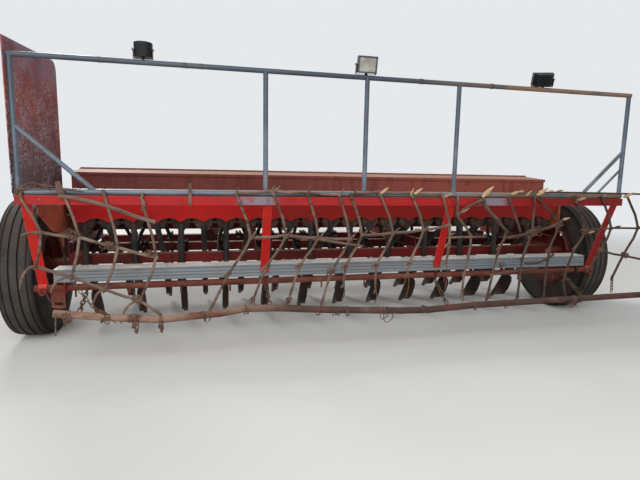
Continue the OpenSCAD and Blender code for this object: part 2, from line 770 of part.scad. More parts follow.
module plank_arms() color("maroon") at_datum() {
    arm_w = 12;
    end_arm_x = end_member_x - 64;
    low = under_z - under_d / 2 - 12;
    difference() {
        for (x = [-end_arm_x, -member_x, member_x, end_arm_x]) across(x - arm_w / 2, x + arm_w / 2) polygon([
            [plank_y, plank_z], [plank_y + plank_w, plank_z], [rear_rail_y - bar_s / 2 - 80, bar_z],
            [rear_rail_y + bar_s / 2, bar_z], [rear_rail_y + bar_s / 2, bar_z - 14],
            [-40, plank_z - 40], [under_y + 60, low], [plank_y, low]
        ]);
        translate([-rail_half, under_y, under_z]) rotate([0, 90, 0])
            cylinder(h = 2 * rail_half, d = under_d + 2 * gap);
    }
}

// Rusty bar under the plank, with short pegs, and the slotted quadrant at its left end
module under_bar() color("saddlebrown") at_datum() {
    peg_pitch = 2 * row_pitch;
    peg_d = 14;
    peg_l = 70;
    quadrant_x = -half_rows + 2;
    quadrant_r = 140;
    slot = [96, 118];
    translate([-rail_half, under_y, under_z]) rotate([0, 90, 0]) cylinder(h = 2 * rail_half, d = under_d);
    for (x = [-half_rows + 100 : peg_pitch : half_rows])
        translate([x, under_y, under_z - peg_l]) cylinder(h = peg_l, d = peg_d);
    translate([quadrant_x, under_y, under_z - 10]) rotate([90, 0, 0]) linear_extrude(8, center = true)
        difference() {
            intersection() {
                circle(r = quadrant_r);
                translate([-60, -150]) square([90, 150]);
            }
            intersection() {
                difference() {
                    circle(r = slot[1]);
                    circle(r = slot[0]);
                }
                translate([-44, -150]) square([58, 150]);
            }
        }
}

module top_bar() color("red") at_datum() across(-rail_half, rail_half) {
    wall = 8;
    polygon([
        [top_bar_y, top_bar_z], [top_bar_y, top_bar_z - top_bar_h], [top_bar_y + wall, top_bar_z - top_bar_h],
        [top_bar_y + wall, top_bar_z - wall], [top_bar_y + top_bar_w, top_bar_z - wall],
        [top_bar_y + top_bar_w, top_bar_z]
    ]);
}

// Flat legs from the top bar: the inner two end on the plank, the outer two on the bar under it
module bar_legs() color("red") at_datum() {
    leg_w = 62;
    leg_t = 10;
    leg_y = top_bar_y + 8;
    leg_z = top_bar_z - 10;
    collar_t = 7;
    for (x = [-member_x, member_x]) across(x - leg_w / 2, x + leg_w / 2) polygon([
        [leg_y, leg_z], [leg_y + leg_t, leg_z], [plank_y, plank_z + 66], [plank_y, plank_z + 28],
        [plank_y - leg_t, plank_z + 28], [plank_y - leg_t, plank_z + 66]
    ]);
    for (x = [-outer_leg_x, outer_leg_x]) {
        across(x - leg_w / 2, x + leg_w / 2) polygon([
            [leg_y, leg_z], [leg_y + leg_t, leg_z], [under_y + 6, under_z + under_d / 2 + 3],
            [under_y - 6, under_z + under_d / 2 + 3]
        ]);
        translate([x - 26, under_y, under_z]) rotate([0, 90, 0]) difference() {
            cylinder(h = 52, d = under_d + 2 * gap + 2 * collar_t);
            translate([0, 0, -1]) cylinder(h = 54, d = under_d + 2 * gap);
        }
    }
}

// Light frame of galvanised pipe

module rail_pipes() color("lightsteelblue") at_datum() {
    for (k = [[lower_rail_z, lower_rail_d], [top_rail_z, post_d]])
        translate([-rail_half, rail_y, k[0]]) rotate([0, 90, 0]) cylinder(h = 2 * rail_half, d = k[1]);
}

module rail_posts() color("lightsteelblue") at_datum() {
    brace_d = 30;
    // each brace: side, height on the post, distance along the rail, diameter
    braces = [[-1, 1600, 450, brace_d], [1, 1565, 385, brace_d], [1, 1424, 240, brace_d - 10]];
    difference() {
        union() {
            for (x = [-end_post_x, -inner_post_x, 0, inner_post_x, end_post_x])
                rod([x, rail_y, post_z], [x, rail_y, top_rail_z], post_d);
            for (b = braces) rod([b[0] * (end_post_x - 2), rail_y, b[1]],
                [b[0] * (end_post_x - b[2]), rail_y, post_z], b[3]);
        }
        for (k = [[lower_rail_d, lower_rail_z], [post_d, top_rail_z]])
            translate([-rail_half - 50, rail_y, k[1]]) rotate([0, 90, 0])
                cylinder(h = 2 * rail_half + 100, d = k[0]);
        block([-rail_half, rail_y - 50, post_z - 60], [rail_half, rail_y + 50, post_z]);
        block([-rail_half, rail_y - 50, top_rail_z], [rail_half, rail_y + 50, top_rail_z + 60]);
    }
}

// Three work lamps: place on the rail, width, height, tilt, turn
lamps = [[-1508, 110, 90, 0, 180], [-12, 138, 112, 12, 0], [1444, 150, 88, -24, 160]];

module work_lamps() color("darkslategray") at_datum() for (k = lamps) {
    depth = 72;
    neck = 16;
    foot_z = top_rail_z + post_d / 2;
    difference() {
        translate([k[0], rail_y, foot_z - 10]) cylinder(h = neck + 14, d = 20);
        translate([k[0] - 50, rail_y, top_rail_z]) rotate([0, 90, 0]) cylinder(h = 100, d = post_d);
    }
    translate([k[0], rail_y, foot_z + neck + k[2] / 2]) rotate([k[3], 0, k[4]]) difference() {
        rotate([90, 0, 0]) linear_extrude(depth, center = true)
            square([k[1], k[2]], center = true);
        translate([0, -depth / 2, 0]) cube([k[1] - 14, 16, k[2] - 14], center = true);
        for (side = [0, 1]) mirror([side, 0, 0]) translate([k[1] / 2, depth / 2, 0])
            rotate([0, 0, 45]) cube([46, 46, k[2] + 2], center = true);
    }
}

// Expanded-metal screen at the left end, in a flat frame

screen_low = [top_bar_y - 6, top_bar_z + 11];
screen_high = screen_low + [screen_depth, top_rail_z - top_bar_z + 87];
screen_peak = 66;
screen_x = end_post_x + post_d / 2 + gap;

// Outline of the screen in y and z, drawn in by so much
function screen_outline(inset) = [
    [screen_low[0] + inset, screen_low[1] + inset], [screen_low[0] - 8 + inset, screen_high[1] - inset],
    [screen_high[0] - 42 - inset / 2, screen_high[1] + screen_peak - inset],
    [screen_high[0] - inset, screen_high[1] - inset / 2], [screen_high[0] - inset, screen_low[1] + inset]
];

module mesh_panel() color("maroon") at_datum() {
    frame_w = 26;
    frame_t = 6;
    mesh_t = 3;
    pitch_y = 74;
    pitch_z = 37;
    strand = 7;
    columns = floor((screen_depth - 2 * frame_w - 48) / pitch_y);
    lines = floor((screen_high[1] - screen_low[1]) / pitch_z);
    across(-screen_x - frame_t, -screen_x) difference() {
        polygon(screen_outline(0));
        polygon(screen_outline(frame_w));
    }
    across(-screen_x - frame_t / 2 - mesh_t / 2, -screen_x - frame_t / 2 + mesh_t / 2) difference() {
        polygon(screen_outline(frame_w - 2));
        for (i = [0 : columns]) for (j = [0 : lines]) {
            y = screen_low[0] + frame_w + 44 + i * pitch_y + (j % 2) * pitch_y / 2;
            z = screen_low[1] + frame_w + 24 + j * pitch_z;
            top = screen_high[1] + (y - screen_low[0]) * screen_peak / screen_depth - frame_w - 24;
            if (z < top && y < screen_high[0] - frame_w - 36) translate([y, z]) polygon([
                [-pitch_y / 2 + strand * 1.2, 0], [0, -pitch_z + strand], [pitch_y / 2 - strand * 1.2, 0],
                [0, pitch_z - strand]
            ]);
        }
    }
}

// Finger-tine harrow leaves, hung by their links over the top bar.
// Each link is a list of places across and up, from its top hook down to its last finger.
leaf_a = [
    [[-2095, 1210], [-2180, 950], [-2185, 715]], [[-2035, 1320], [-1925, 905], [-1985, 660]],
    [[-1765, 1260], [-1700, 845], [-1790, 560]], [[-1535, 1195], [-1460, 760], [-1575, 475]]
];
leaf_b = [
    [[-935, 1200], [-830, 890], [-985, 640], [-1120, 375]],
    [[-680, 1215], [-580, 900], [-725, 675], [-820, 440]],
    [[-435, 1205], [-345, 880], [-480, 685], [-570, 405]],
    [[-200, 1195], [-110, 870], [-245, 635], [-320, 375]]
];
leaf_c = [
    [[-115, 1200], [-15, 895], [-135, 675], [-155, 525]],
    [[105, 1215], [230, 910], [100, 665], [100, 470]],
    [[355, 1210], [475, 930], [370, 685], [355, 595]],
    [[610, 1205], [690, 965], [695, 820], [675, 675]]
];
leaf_d = [
    [[930, 1200], [1215, 890], [1195, 665], [1170, 435]],
    [[1185, 1210], [1305, 940], [1335, 660], [1320, 415]],
    [[1430, 1215], [1560, 925], [1585, 735], [1595, 535]]
];
leaf_e = [
    [[1825, 1205], [1920, 925], [1810, 690], [1780, 385]], [[2075, 1210], [2170, 930], [2060, 680]],
    [[2250, 1210], [2420, 915], [2300, 650], [2260, 415]]
];

function at_leaf(p) = [p[0], harrow_y, p[1]];

// A forged rod of the harrow: six-sided bar with round-cornered bends
module forged(points, d) for (i = [0 : len(points) - 2]) hull() for (p = [points[i], points[i + 1]])
    translate(p) rotate([90, 0, 0]) sphere(d = d * 1.1, $fn = 6);

// Finger: hooks out to the left and down from a point on the leaf
module finger(p, reach, drop) forged([for (k = [[0, 0], [-0.5 * reach, 14], [-0.85 * reach, -0.4 * drop],
    [-reach, -drop]]) at_leaf(p + k)], link_d - 3);

// Flattened tip of a finger that stands above the bar
module blade(p, a) translate(at_leaf(p)) rotate([90, -a, 0]) linear_extrude(6, center = true)
    polygon([[-4, -5], [20, -13], [60, -11], [95, 0], [60, 11], [20, 13], [-4, 5]]);

strap_x = -1236;
strap_w = 28;

// Hook by which a link hangs over the top bar
hook_z = top_bar_z + link_d * 0.55 + gap;

module hook(link) {
    x = link[0][0] + (link[1][0] - link[0][0]) * (link[0][1] - hook_z) / (link[0][1] - link[1][1]);
    forged([[x, harrow_y, hook_z], [x, top_bar_y + 3, hook_z]], link_d);
}

module leaf(links, bar_rows) {
    for (link = links) hook(link);
    for (link = links) forged([for (p = link) at_leaf(p)], link_d);
    for (r = bar_rows) forged([for (link = links) at_leaf(link[r])], cross_d);
    for (link = links) {
        blade(link[0] + [4, 4], 52);
        finger(link[2], 62, 70);
    }
}

module harrow_left() color("rosybrown") at_datum() {
    leaf(leaf_a, [1, 2]);
    forged([for (k = [[-2032, 1180], [-1762, 1112], [-1540, 1030]]) at_leaf(k)], cross_d);
    for (link = leaf_a) finger(link[1], 60, 20);
    last = leaf_a[len(leaf_a) - 1][2];
    forged([at_leaf(last), at_leaf(last + [115, -95])], cross_d);
}

module harrow_middle() color("rosybrown") at_datum() {
    leaf(leaf_b, [0, 1]);
    leaf(leaf_c, [0, 1]);
    for (link = concat(leaf_b, leaf_c)) blade(link[1] + [4, 4], 48);
    // lone strap on the bar beside the leaf
    translate([strap_x, top_bar_y - gap, top_bar_z]) block([-strap_w / 2, -8, -80], [strap_w / 2, 0, 90]);
}

module harrow_right() color("rosybrown") at_datum() {
    leaf(leaf_d, [1]);
    leaf(leaf_e, [1, 2]);
}

// Bent drag pipe: places across and up
drag_line = [[-2095, 420], [-1770, 378], [-1440, 345], [-1050, 368], [-885, 392], [-670, 388], [-260, 352],
    [300, 318], [520, 312], [915, 330], [1720, 338], [2535, 345]];

module drag_pipe() color("tan") at_datum()
    bent_rod([for (p = drag_line) [p[0], drag_y, p[1]]], drag_d);

// Link chains from the bar under the plank to the drag pipe, each of so many equal links
chain_x = [-1950, -700, 700, 1950];
chain_links = 6;
wire_d = 9;
link_w = 34;

module chain_link(length) {
    straight = length - link_w;
    r = (link_w - wire_d) / 2;
    for (side = [-1, 1]) {
        translate([side * r, 0, -straight / 2]) cylinder(h = straight, d = wire_d);
        translate([0, 0, side * straight / 2]) rotate([side * 90, 0, 0])
            rotate_extrude(angle = 180) translate([r, 0]) circle(d = wire_d, $fn = 16);
    }
}

function drag_z(x) = let (i = max([for (k = [0 : len(drag_line) - 2]) drag_line[k][0] <= x ? k : 0]),
    a = drag_line[i], b = drag_line[i + 1]) a[1] + (b[1] - a[1]) * (x - a[0]) / (b[0] - a[0]);

module drag_chains() color("saddlebrown") at_datum() for (x = chain_x) {
    start = [x, under_y, under_z];
    v = [x, drag_y, drag_z(x)] - start;
    span = norm(v) - under_d / 2 - drag_d / 2 - 2 * gap;
    bite = 2 * wire_d + gap;
    // rounded, so that the halves of a link meet exactly
    length = floor(50 * (span + (chain_links - 1) * bite) / chain_links) / 50;
    first = under_d / 2 + gap + length / 2;
    for (i = [0 : chain_links - 1]) translate(start + v / norm(v) * (first + i * (length - bite)))
        rotate([0, acos(v[2] / norm(v)), atan2(v[1], v[0])]) rotate(i % 2 == 0 ? 0 : 90) chain_link(length);
}

cross_bars();
members();
end_plates();
box_stands();
drawbar_beams();
drawbar_tongue();
hitch_head();
jack_sleeve();
jack_leg();
lift_shaft();
axle_left();
axle_right();
lift_ram();
tyre_left();
rim_left();
tyre_right();
rim_right();
box_rear_pan();
box_front_pan();
box_walls();
lid_rear_left();
lid_rear_right();
lid_front_left();
lid_front_right();
seed_hood();
feed_cups();
feed_shaft();
drive_chain();
tubes_rear();
tubes_front();
tines_rear();
tines_front();
boots_rear();
boots_front();
plank();
plank_arms();
under_bar();
top_bar();
bar_legs();
rail_pipes();
rail_posts();
work_lamps();
mesh_panel();
harrow_left();
harrow_middle();
harrow_right();
drag_pipe();
drag_chains();
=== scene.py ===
"""Trailed 24-row combine seed drill: finishes, light, camera, and the small pieces that the CAD leaves out.

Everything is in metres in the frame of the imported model: X across the machine, Y the way it is towed, Z up.
Sizes of pieces are written in millimetres, as a maker would, and MM turns them to metres.
"""

import math
import random

import bmesh
import bpy
from mathutils import Matrix, Vector


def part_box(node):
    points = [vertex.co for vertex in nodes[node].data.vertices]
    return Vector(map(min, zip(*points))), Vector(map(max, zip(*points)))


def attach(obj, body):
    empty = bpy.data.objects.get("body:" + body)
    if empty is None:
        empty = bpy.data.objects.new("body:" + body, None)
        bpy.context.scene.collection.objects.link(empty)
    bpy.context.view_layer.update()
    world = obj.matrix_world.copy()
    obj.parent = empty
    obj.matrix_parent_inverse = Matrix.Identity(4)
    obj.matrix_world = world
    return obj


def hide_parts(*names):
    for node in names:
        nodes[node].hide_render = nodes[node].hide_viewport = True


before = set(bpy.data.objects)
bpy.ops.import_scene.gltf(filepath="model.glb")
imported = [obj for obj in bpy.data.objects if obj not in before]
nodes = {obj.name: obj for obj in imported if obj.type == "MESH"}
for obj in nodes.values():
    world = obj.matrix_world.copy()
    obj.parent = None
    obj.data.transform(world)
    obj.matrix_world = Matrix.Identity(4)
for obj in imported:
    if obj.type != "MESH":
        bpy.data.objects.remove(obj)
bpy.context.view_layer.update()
dice = random.Random(24)

MM = 0.001
ROW_PITCH = 177.8
ROWS = [(i - 11.5) * ROW_PITCH for i in range(24)]

# Even rows hang from the rear tine bar and odd rows from the front one
TINE_BARS_Y = (700, 1270)

# Fore-and-aft members of the frame, and the top bar's outer bolts, either side of the middle
MEMBER_X = 711.2
END_BOLT_X = 2147.824

# Lap seams of the seed box
SEAMS_X = (-1881, -711, 711, 1881)

# Places along Y are measured from the hood's rear face, as on the machine's drawing
hood_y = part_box("seed_hood")[0].y / MM


def at(x, y, z):
    """A place in the frame from millimetres across, forward of the hood's rear face, and up."""
    return Vector((x, y + hood_y, z)) * MM


def edge(name, end, axis):
    """One side of a CAD node's box in the same millimetres; end is 0 for the low side, 1 for the high."""
    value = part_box(name)[end]["xyz".index(axis)] / MM
    return value - hood_y if axis == "y" else value


def centre_of(name, axis):
    """The middle of a CAD node's box, in the same millimetres."""
    return (edge(name, 0, axis) + edge(name, 1, axis)) / 2


top_bar_y = edge("top_bar", 0, "y")
top_bar_z = edge("top_bar", 1, "z")
rail_y = centre_of("rail_pipes", "y")
rail_top = edge("rail_pipes", 1, "z")
wheel_x = centre_of("tyre_right", "x")
wheel_y = centre_of("tyre_right", "y")
wheel_z = edge("tyre_right", 1, "z") / 2

# The harrow leaves' rods hang against the top bar's rear face
harrow_y = top_bar_y - 10.8
drag_y = centre_of("drag_pipe", "y")

# The fertiliser cups' row, on the front trough
FERTILISER_Y = 712


# Camera, light and surroundings


BACKDROP = "#e9ecef"
BACKDROP_STRENGTH = 0.97


def add_camera():
    """The photograph's own view, fitted to the hood, the box, the rails and the tyres."""
    yaw, pitch, roll = (math.radians(a) for a in (13.54, 8.10, 1.05))
    level = math.cos(pitch)
    forward = Vector((math.sin(yaw) * level, math.cos(yaw) * level, -math.sin(pitch)))
    right = Vector((math.cos(yaw), -math.sin(yaw), 0))
    up = right.cross(forward)
    lean, stand = math.sin(roll), math.cos(roll)
    right, up = right * stand + up * lean, up * stand - right * lean
    bpy.ops.object.camera_add(location=at(-1122, -3871, 1343))
    camera = bpy.context.object
    camera.rotation_euler = Matrix((right, up, -forward)).transposed().to_euler()
    camera.data.sensor_width = 36
    camera.data.lens = 26.38
    camera.data.clip_start = 0.05
    bpy.context.scene.camera = camera


def add_lamps():
    """A soft key high in front of the machine, which lights its upper edges, and a fill from behind it."""
    for name, place, aim, size, watts in (
        ("key lamp", (-4.5, 5.0, 7.0), (0, -0.5, 0.8), 3.0, 720),
        ("fill lamp", (-2.5, -7.5, 4.0), (0, -1.5, 0.9), 5.0, 280),
    ):
        bpy.ops.object.light_add(type="AREA", location=place)
        lamp = bpy.context.object
        lamp.name = name
        lamp.data.size = size
        lamp.data.energy = watts
        lamp.rotation_euler = (Vector(aim) - Vector(place)).to_track_quat("-Z", "Y").to_euler()


def add_surround():
    """A pale floor and an even pale surround, which the camera and glossy faces see as a light backdrop."""
    world = bpy.data.worlds.new("pale surround")
    bpy.context.scene.world = world
    world.use_nodes = True
    tree = world.node_tree
    tree.nodes.clear()
    ray = node(tree, "LightPath").outputs
    seen = node(tree, "Math", {0: ray["Is Camera Ray"], 1: ray["Is Glossy Ray"]}, operation="MAXIMUM")
    seen = node(tree, "Math", {0: seen.outputs[0], 1: ray["Is Transmission Ray"]}, operation="MAXIMUM")
    lit = node(tree, "Background", {"Color": linear("#dfe5ec"), "Strength": 0.56})
    shown = node(tree, "Background", {"Color": linear(BACKDROP), "Strength": BACKDROP_STRENGTH})
    mixed = node(tree, "MixShader", {0: seen.outputs[0], 1: lit.outputs[0], 2: shown.outputs[0]})
    node(tree, "OutputWorld", {"Surface": mixed.outputs[0]})

    clear_selection()
    bpy.ops.mesh.primitive_plane_add(size=400)
    floor = bpy.context.object
    floor.name = "floor"
    material = bpy.data.materials.new("matt pale floor")
    material.use_nodes = True
    tree = material.node_tree
    tree.nodes.clear()
    path = node(tree, "LightPath")
    place = node(tree, "TexCoord").outputs["Object"]
    far = node(tree, "VectorMath", {0: place}, operation="LENGTH").outputs["Value"]
    fade = node(tree, "MapRange", {"Value": far, "From Min": 4.5, "From Max": 13.0})
    fade.interpolation_type = "SMOOTHERSTEP"
    seen = node(tree, "Math", {0: fade.outputs[0], 1: path.outputs["Is Camera Ray"]}, operation="MULTIPLY")
    matt = node(tree, "BsdfDiffuse", {"Color": linear("#d8d6d1"), "Roughness": 0.9})
    pale = node(tree, "Emission", {"Color": linear(BACKDROP), "Strength": BACKDROP_STRENGTH})
    mixed = node(tree, "MixShader", {0: seen.outputs[0], 1: matt.outputs[0], 2: pale.outputs[0]})
    node(tree, "OutputMaterial", {"Surface": mixed.outputs[0]})
    wear_in(floor, material)


# Finishes. Each starts from what the real surface is; patch sizes are the real ones in millimetres.


def linear(code):
    """An sRGB hex colour as the linear values that a shader takes."""
    channels = [int(code[i : i + 2], 16) / 255 for i in (1, 3, 5)]
    return [c / 12.92 if c <= 0.04045 else ((c + 0.055) / 1.055) ** 2.4 for c in channels] + [1.0]


def node(tree, kind, sockets=None, **settings):
    """Adds one shader node. sockets gives its inputs by name or number, as values or as outputs to link."""
    made = tree.nodes.new("ShaderNode" + kind)
    for name, value in settings.items():
        setattr(made, name, value)
    for key, value in (sockets or {}).items():
        if isinstance(value, bpy.types.NodeSocket):
            tree.links.new(value, made.inputs[key])
        else:
            made.inputs[key].default_value = value
    return made


class Finish:
    """A material in the making. Masks are outputs that run from 0 to 1."""

    def __init__(self, name):
        self.material = bpy.data.materials.new(name)
        self.material.use_nodes = True
        self.tree = self.material.node_tree
        self.tree.nodes.clear()
        self.place = node(self.tree, "TexCoord").outputs["Object"]
        self.rounded = None

    def patches(self, size_mm, low, high, stretch=(1, 1, 1), shift=0.0, detail=5.0, rough=0.6):
        """Blotches about size_mm across, which start where the noise passes low and are full at high."""
        moved = {"Vector": self.place, "Scale": stretch, "Location": [shift] * 3}
        where = node(self.tree, "Mapping", moved).outputs[0]
        scale = 1 / (2 * size_mm * MM)
        cloud = {"Vector": where, "Scale": scale, "Detail": detail, "Roughness": rough}
        noise = node(self.tree, "TexNoise", cloud)
        span = {"Value": noise.outputs["Fac"], "From Min": low, "From Max": high}
        return node(self.tree, "MapRange", span).outputs[0]

    def facing(self, axis, low=0.3, high=0.9):
        """Faces that look along an axis, such as 2 for upward ones. Some finishes lay dust and fading on
        them, and some a painted highlight.
        """
        normal = node(self.tree, "NewGeometry").outputs["Normal"]
        part = node(self.tree, "SeparateXYZ", {0: normal}).outputs[axis]
        return node(self.tree, "MapRange", {"Value": part, "From Min": low, "From Max": high}).outputs[0]

    def along(self, axis, start, end):
        """Rises from 0 at start to 1 at end, in millimetres across the machine (axis 0) or up (axis 2)."""
        part = node(self.tree, "SeparateXYZ", {0: self.place}).outputs[axis]
        span = {"Value": part, "From Min": start * MM, "From Max": end * MM}
        return node(self.tree, "MapRange", span).outputs[0]

    def ridges(self, axis, pitch_mm):
        """Even ridges so many millimetres apart along an axis."""
        part = node(self.tree, "SeparateXYZ", {0: self.place}).outputs[axis]
        turns = {0: part, 1: 2 * math.pi / (pitch_mm * MM)}
        angle = node(self.tree, "Math", turns, operation="MULTIPLY").outputs[0]
        return node(self.tree, "Math", {0: angle}, operation="SINE").outputs[0]

    def edges(self, radius_mm=3.0):
        """Sharp edges. The finishes lay real wear on them, where paint wears through, and in some a painted
        highlight, where edges catch the light.
        """
        if self.rounded is None:
            self.rounded = node(self.tree, "Bevel", {"Radius": radius_mm * MM}, samples=4).outputs[0]
        flat = node(self.tree, "NewGeometry").outputs["Normal"]
        likeness = node(self.tree, "VectorMath", {0: flat, 1: self.rounded}, operation="DOT_PRODUCT")
        span = {"Value": likeness.outputs["Value"], "From Min": 0.97, "From Max": 0.8}
        return node(self.tree, "MapRange", span).outputs[0]

    def coats(self, base, *layers):
        """Lays each (colour, mask, ...) over the base colour in turn, where all of its masks are."""
        colour = linear(base)
        for code, *masks in layers:
            where = masks[0]
            for mask in masks[1:]:
                where = node(self.tree, "Math", {0: where, 1: mask}, operation="MULTIPLY").outputs[0]
            layer = {0: where, 6: colour, 7: linear(code)}
            colour = node(self.tree, "Mix", layer, data_type="RGBA").outputs[2]
        return colour

    def done(self, colour, rough, dull, relief, relief_mm, **fixed):
        """Closes the material. rough is a roughness, or the pair that dull runs between. relief is a list
        of masks with the share of relief_mm that each stands up. fixed holds sockets that are even."""
        if dull is not None:
            span = {"Value": dull, "To Min": rough[0], "To Max": rough[1]}
            rough = node(self.tree, "MapRange", span).outputs[0]
        sockets = {"Base Color": colour, "Roughness": rough, "Specular IOR Level": 0.2}
        sockets.update({name.replace("_", " "): value for name, value in fixed.items()})
        height = 0.0
        for mask, share in relief:
            raised = {0: mask, 1: share, 2: height}
            height = node(self.tree, "Math", raised, operation="MULTIPLY_ADD").outputs[0]
        bump = {"Height": height, "Distance": relief_mm * MM, "Strength": 1.0}
        if self.rounded is not None:
            bump["Normal"] = self.rounded
        sockets["Normal"] = node(self.tree, "Bump", bump).outputs[0]
        shader = node(self.tree, "BsdfPrincipled", sockets)
        node(self.tree, "OutputMaterial", {"Surface": shader.outputs[0]})
        return self.material


def brushed_enamel(f, fresh, worn, chalk, rust_from, painted_shade=None, bare=()):
    """Implement enamel brushed on over old rust. It keeps a low gloss where it is shaded, goes chalky pink
    where it faces up, and rust comes through in spots. Its pale edges are partly scraped paint and partly a
    painted highlight. The optional darker colour, with the stretch across the machine over which it comes
    in, is painted shade on the machine's shaded side; bare lists stretches worn to grey primer."""
    grain = (0.3, 1, 1)
    faded = f.patches(240, 0.4, 0.62, grain)
    spots = f.patches(24, rust_from, rust_from + 0.05, detail=8, rough=0.7, shift=1.3)
    ragged = f.patches(60, 0.3, 0.42, shift=4.2, detail=7)
    layers = [(worn, faded), ("#64201a", f.patches(36, 0.5, 0.72, shift=7.7, detail=6), 0.4)]
    # painted shade: a darker colour over a stretch across the machine, for its shaded side
    if painted_shade is not None:
        layers.append((painted_shade[0], f.along(0, *painted_shade[1]), 0.8))
    layers += [
        (chalk, f.facing(2), f.patches(60, 0.28, 0.6, shift=3.1)), ("#5a2f22", spots),
        # partly scraped paint, partly painted highlight: a pale colour along the edges
        ("#b59a8c", f.edges(), f.patches(50, 0.35, 0.5, shift=2.5)),
        ("#a5887c", f.patches(8, 0.71, 0.76, shift=5.0), 0.6),
    ]
    soft = 40
    for start, end in bare:
        left, right = f.along(0, start - soft, start + soft), f.along(0, end + soft, end - soft)
        layers.append(("#84868f", left, right, ragged, 0.85))
    brushing = f.patches(6, 0.3, 0.7, (0.15, 1, 1), detail=3)
    return f.done(f.coats(fresh, *layers), (0.36, 0.7), faded, [(brushing, 0.35), (spots, 1.0)], 0.35)


def sprayed_maroon(f, base="#63302b"):
    """Sheet steel sprayed maroon forty years ago. It has a matt brown-pink bloom, freckles of rust,
    and dark streaks that run down; upward faces are painted nearly cream as a painted highlight."""
    bloom = f.patches(320, 0.35, 0.68)
    blotch = f.patches(70, 0.6, 0.68, detail=8, rough=0.66, shift=9.0)
    colour = f.coats(
        base, ("#743f38", bloom),
        ("#9a5548", f.along(0, -900, 900), f.patches(400, 0.15, 0.4, shift=5.5), 0.8),
        ("#502019", f.patches(36, 0.5, 0.7, (1, 1, 0.15), shift=2.0), 0.55), ("#4b251d", blotch, 0.7),
        ("#3a1f19", f.patches(10, 0.62, 0.69, detail=6, rough=0.72, shift=4.0), 0.8),
        # the first layer here is a painted highlight: upward faces, such as the lids' top strip, painted
        # nearly cream
        ("#a57a64", f.facing(2, 0.5, 0.95), 0.85), ("#a8857a", f.patches(7, 0.7, 0.75, shift=6.0), 0.5),
        ("#8c6455", f.edges(), 0.7),
    )
    return f.done(colour, (0.5, 0.8), bloom, [(f.patches(6, 0.35, 0.65), 0.3), (blotch, 1.0)], 0.3)


def greasy_frame_enamel(f):
    """Rolled sections in old red enamel, dark under grease and dust, with rust where straw rubs."""
    rust = f.patches(34, 0.55, 0.66, detail=8, rough=0.68, shift=2.2)
    colour = f.coats(
        "#7d211b", ("#431a16", f.patches(160, 0.38, 0.66, (0.2, 1, 1))), ("#3c2219", rust),
        ("#b98d72", f.facing(2), f.patches(50, 0.3, 0.55, shift=6.0), 0.8), ("#7c5140", f.edges(), 0.6),
    )
    return f.done(colour, (0.5, 0.85), rust, [(f.patches(5, 0.3, 0.7), 0.4), (rust, 1.0)], 0.5)


def burnt_plate_paint(f):
    """Flame-cut plate. Its paint has burnt to a brown maroon, and its arch's cut edge is bright rust."""
    rust = f.patches(110, 0.42, 0.6, detail=8, rough=0.65)
    colour = f.coats(
        "#bb5843", ("#935039", rust), ("#b0673f", f.patches(48, 0.58, 0.7, detail=7, shift=4.4), 0.7),
        ("#b8703f", f.edges(4.0), 0.9),
    )
    return f.done(colour, (0.5, 0.85), rust, [(f.patches(7, 0.3, 0.7), 1.0)], 0.5)


def dull_galvanising(f, base, bloom, tan_from=None):
    """Hot-dip galvanised pipe gone dull: blue-grey zinc with a soft spangle about 12 mm across,
    white bloom, and tan rust where it is worn or at its end."""
    cells = node(f.tree, "TexVoronoi", {"Vector": f.place, "Scale": 1 / (12 * MM)}).outputs["Color"]
    spangle = node(f.tree, "SeparateColor", {0: cells}).outputs[0]
    white = f.patches(90, 0.42, 0.66, (0.3, 1, 1))
    tan = "#94775b"
    layers = [
        (bloom, spangle, 0.3), (bloom, white),
        ("#5f6266", f.patches(45, 0.52, 0.7, (0.3, 1, 1), shift=3.0, detail=7), 0.6),
        ("#b5b0a6", f.facing(2, 0.6, 0.95), 0.5),
        (tan, f.patches(55, 0.6, 0.7, detail=8, rough=0.7, shift=8.0), 0.85),
        # painted shade: the galvanising is painted darker higher up, so the top rail is darker than the low
        # rail
        ("#3c434b", f.along(2, 1400, 1950), 0.65),
    ]
    if tan_from is not None:
        layers.append((tan, f.along(0, *tan_from), f.patches(90, 0.25, 0.5, shift=5.0), 0.85))
    colour = f.coats(base, *layers)
    return f.done(colour, (0.36, 0.62), white, [(f.patches(8, 0.3, 0.7), 1.0)], 0.15, Metallic=0.3)


def walked_on_galvanising(f):
    """Folded galvanised plank, paler than the pipes: faint wiped streaks, splashed mud, an upper face
    painted cream and bent edges painted a little brighter, both as a painted highlight."""
    long_grain = (0.05, 1, 1)
    mud = f.patches(90, 0.52, 0.66, detail=8, shift=2.0)
    colour = f.coats(
        "#7b8289", ("#92999e", f.patches(24, 0.38, 0.64, long_grain), 0.7), ("#8b8378", mud, 0.5),
        ("#5c5f63", f.patches(12, 0.64, 0.7, long_grain, shift=6.0), 0.7),
        # painted highlight: the upper face painted cream, and the edges a little brighter
        ("#efe9dc", f.facing(2, 0.8, 0.98), f.patches(80, 0.1, 0.3, shift=4.0)),
        ("#a8abad", f.edges(), 0.12),
    )
    waves = f.patches(50, 0.3, 0.7, (0.1, 1, 1))
    return f.done(colour, (0.42, 0.74), mud, [(waves, 1.0)], 0.7, Metallic=0.3)


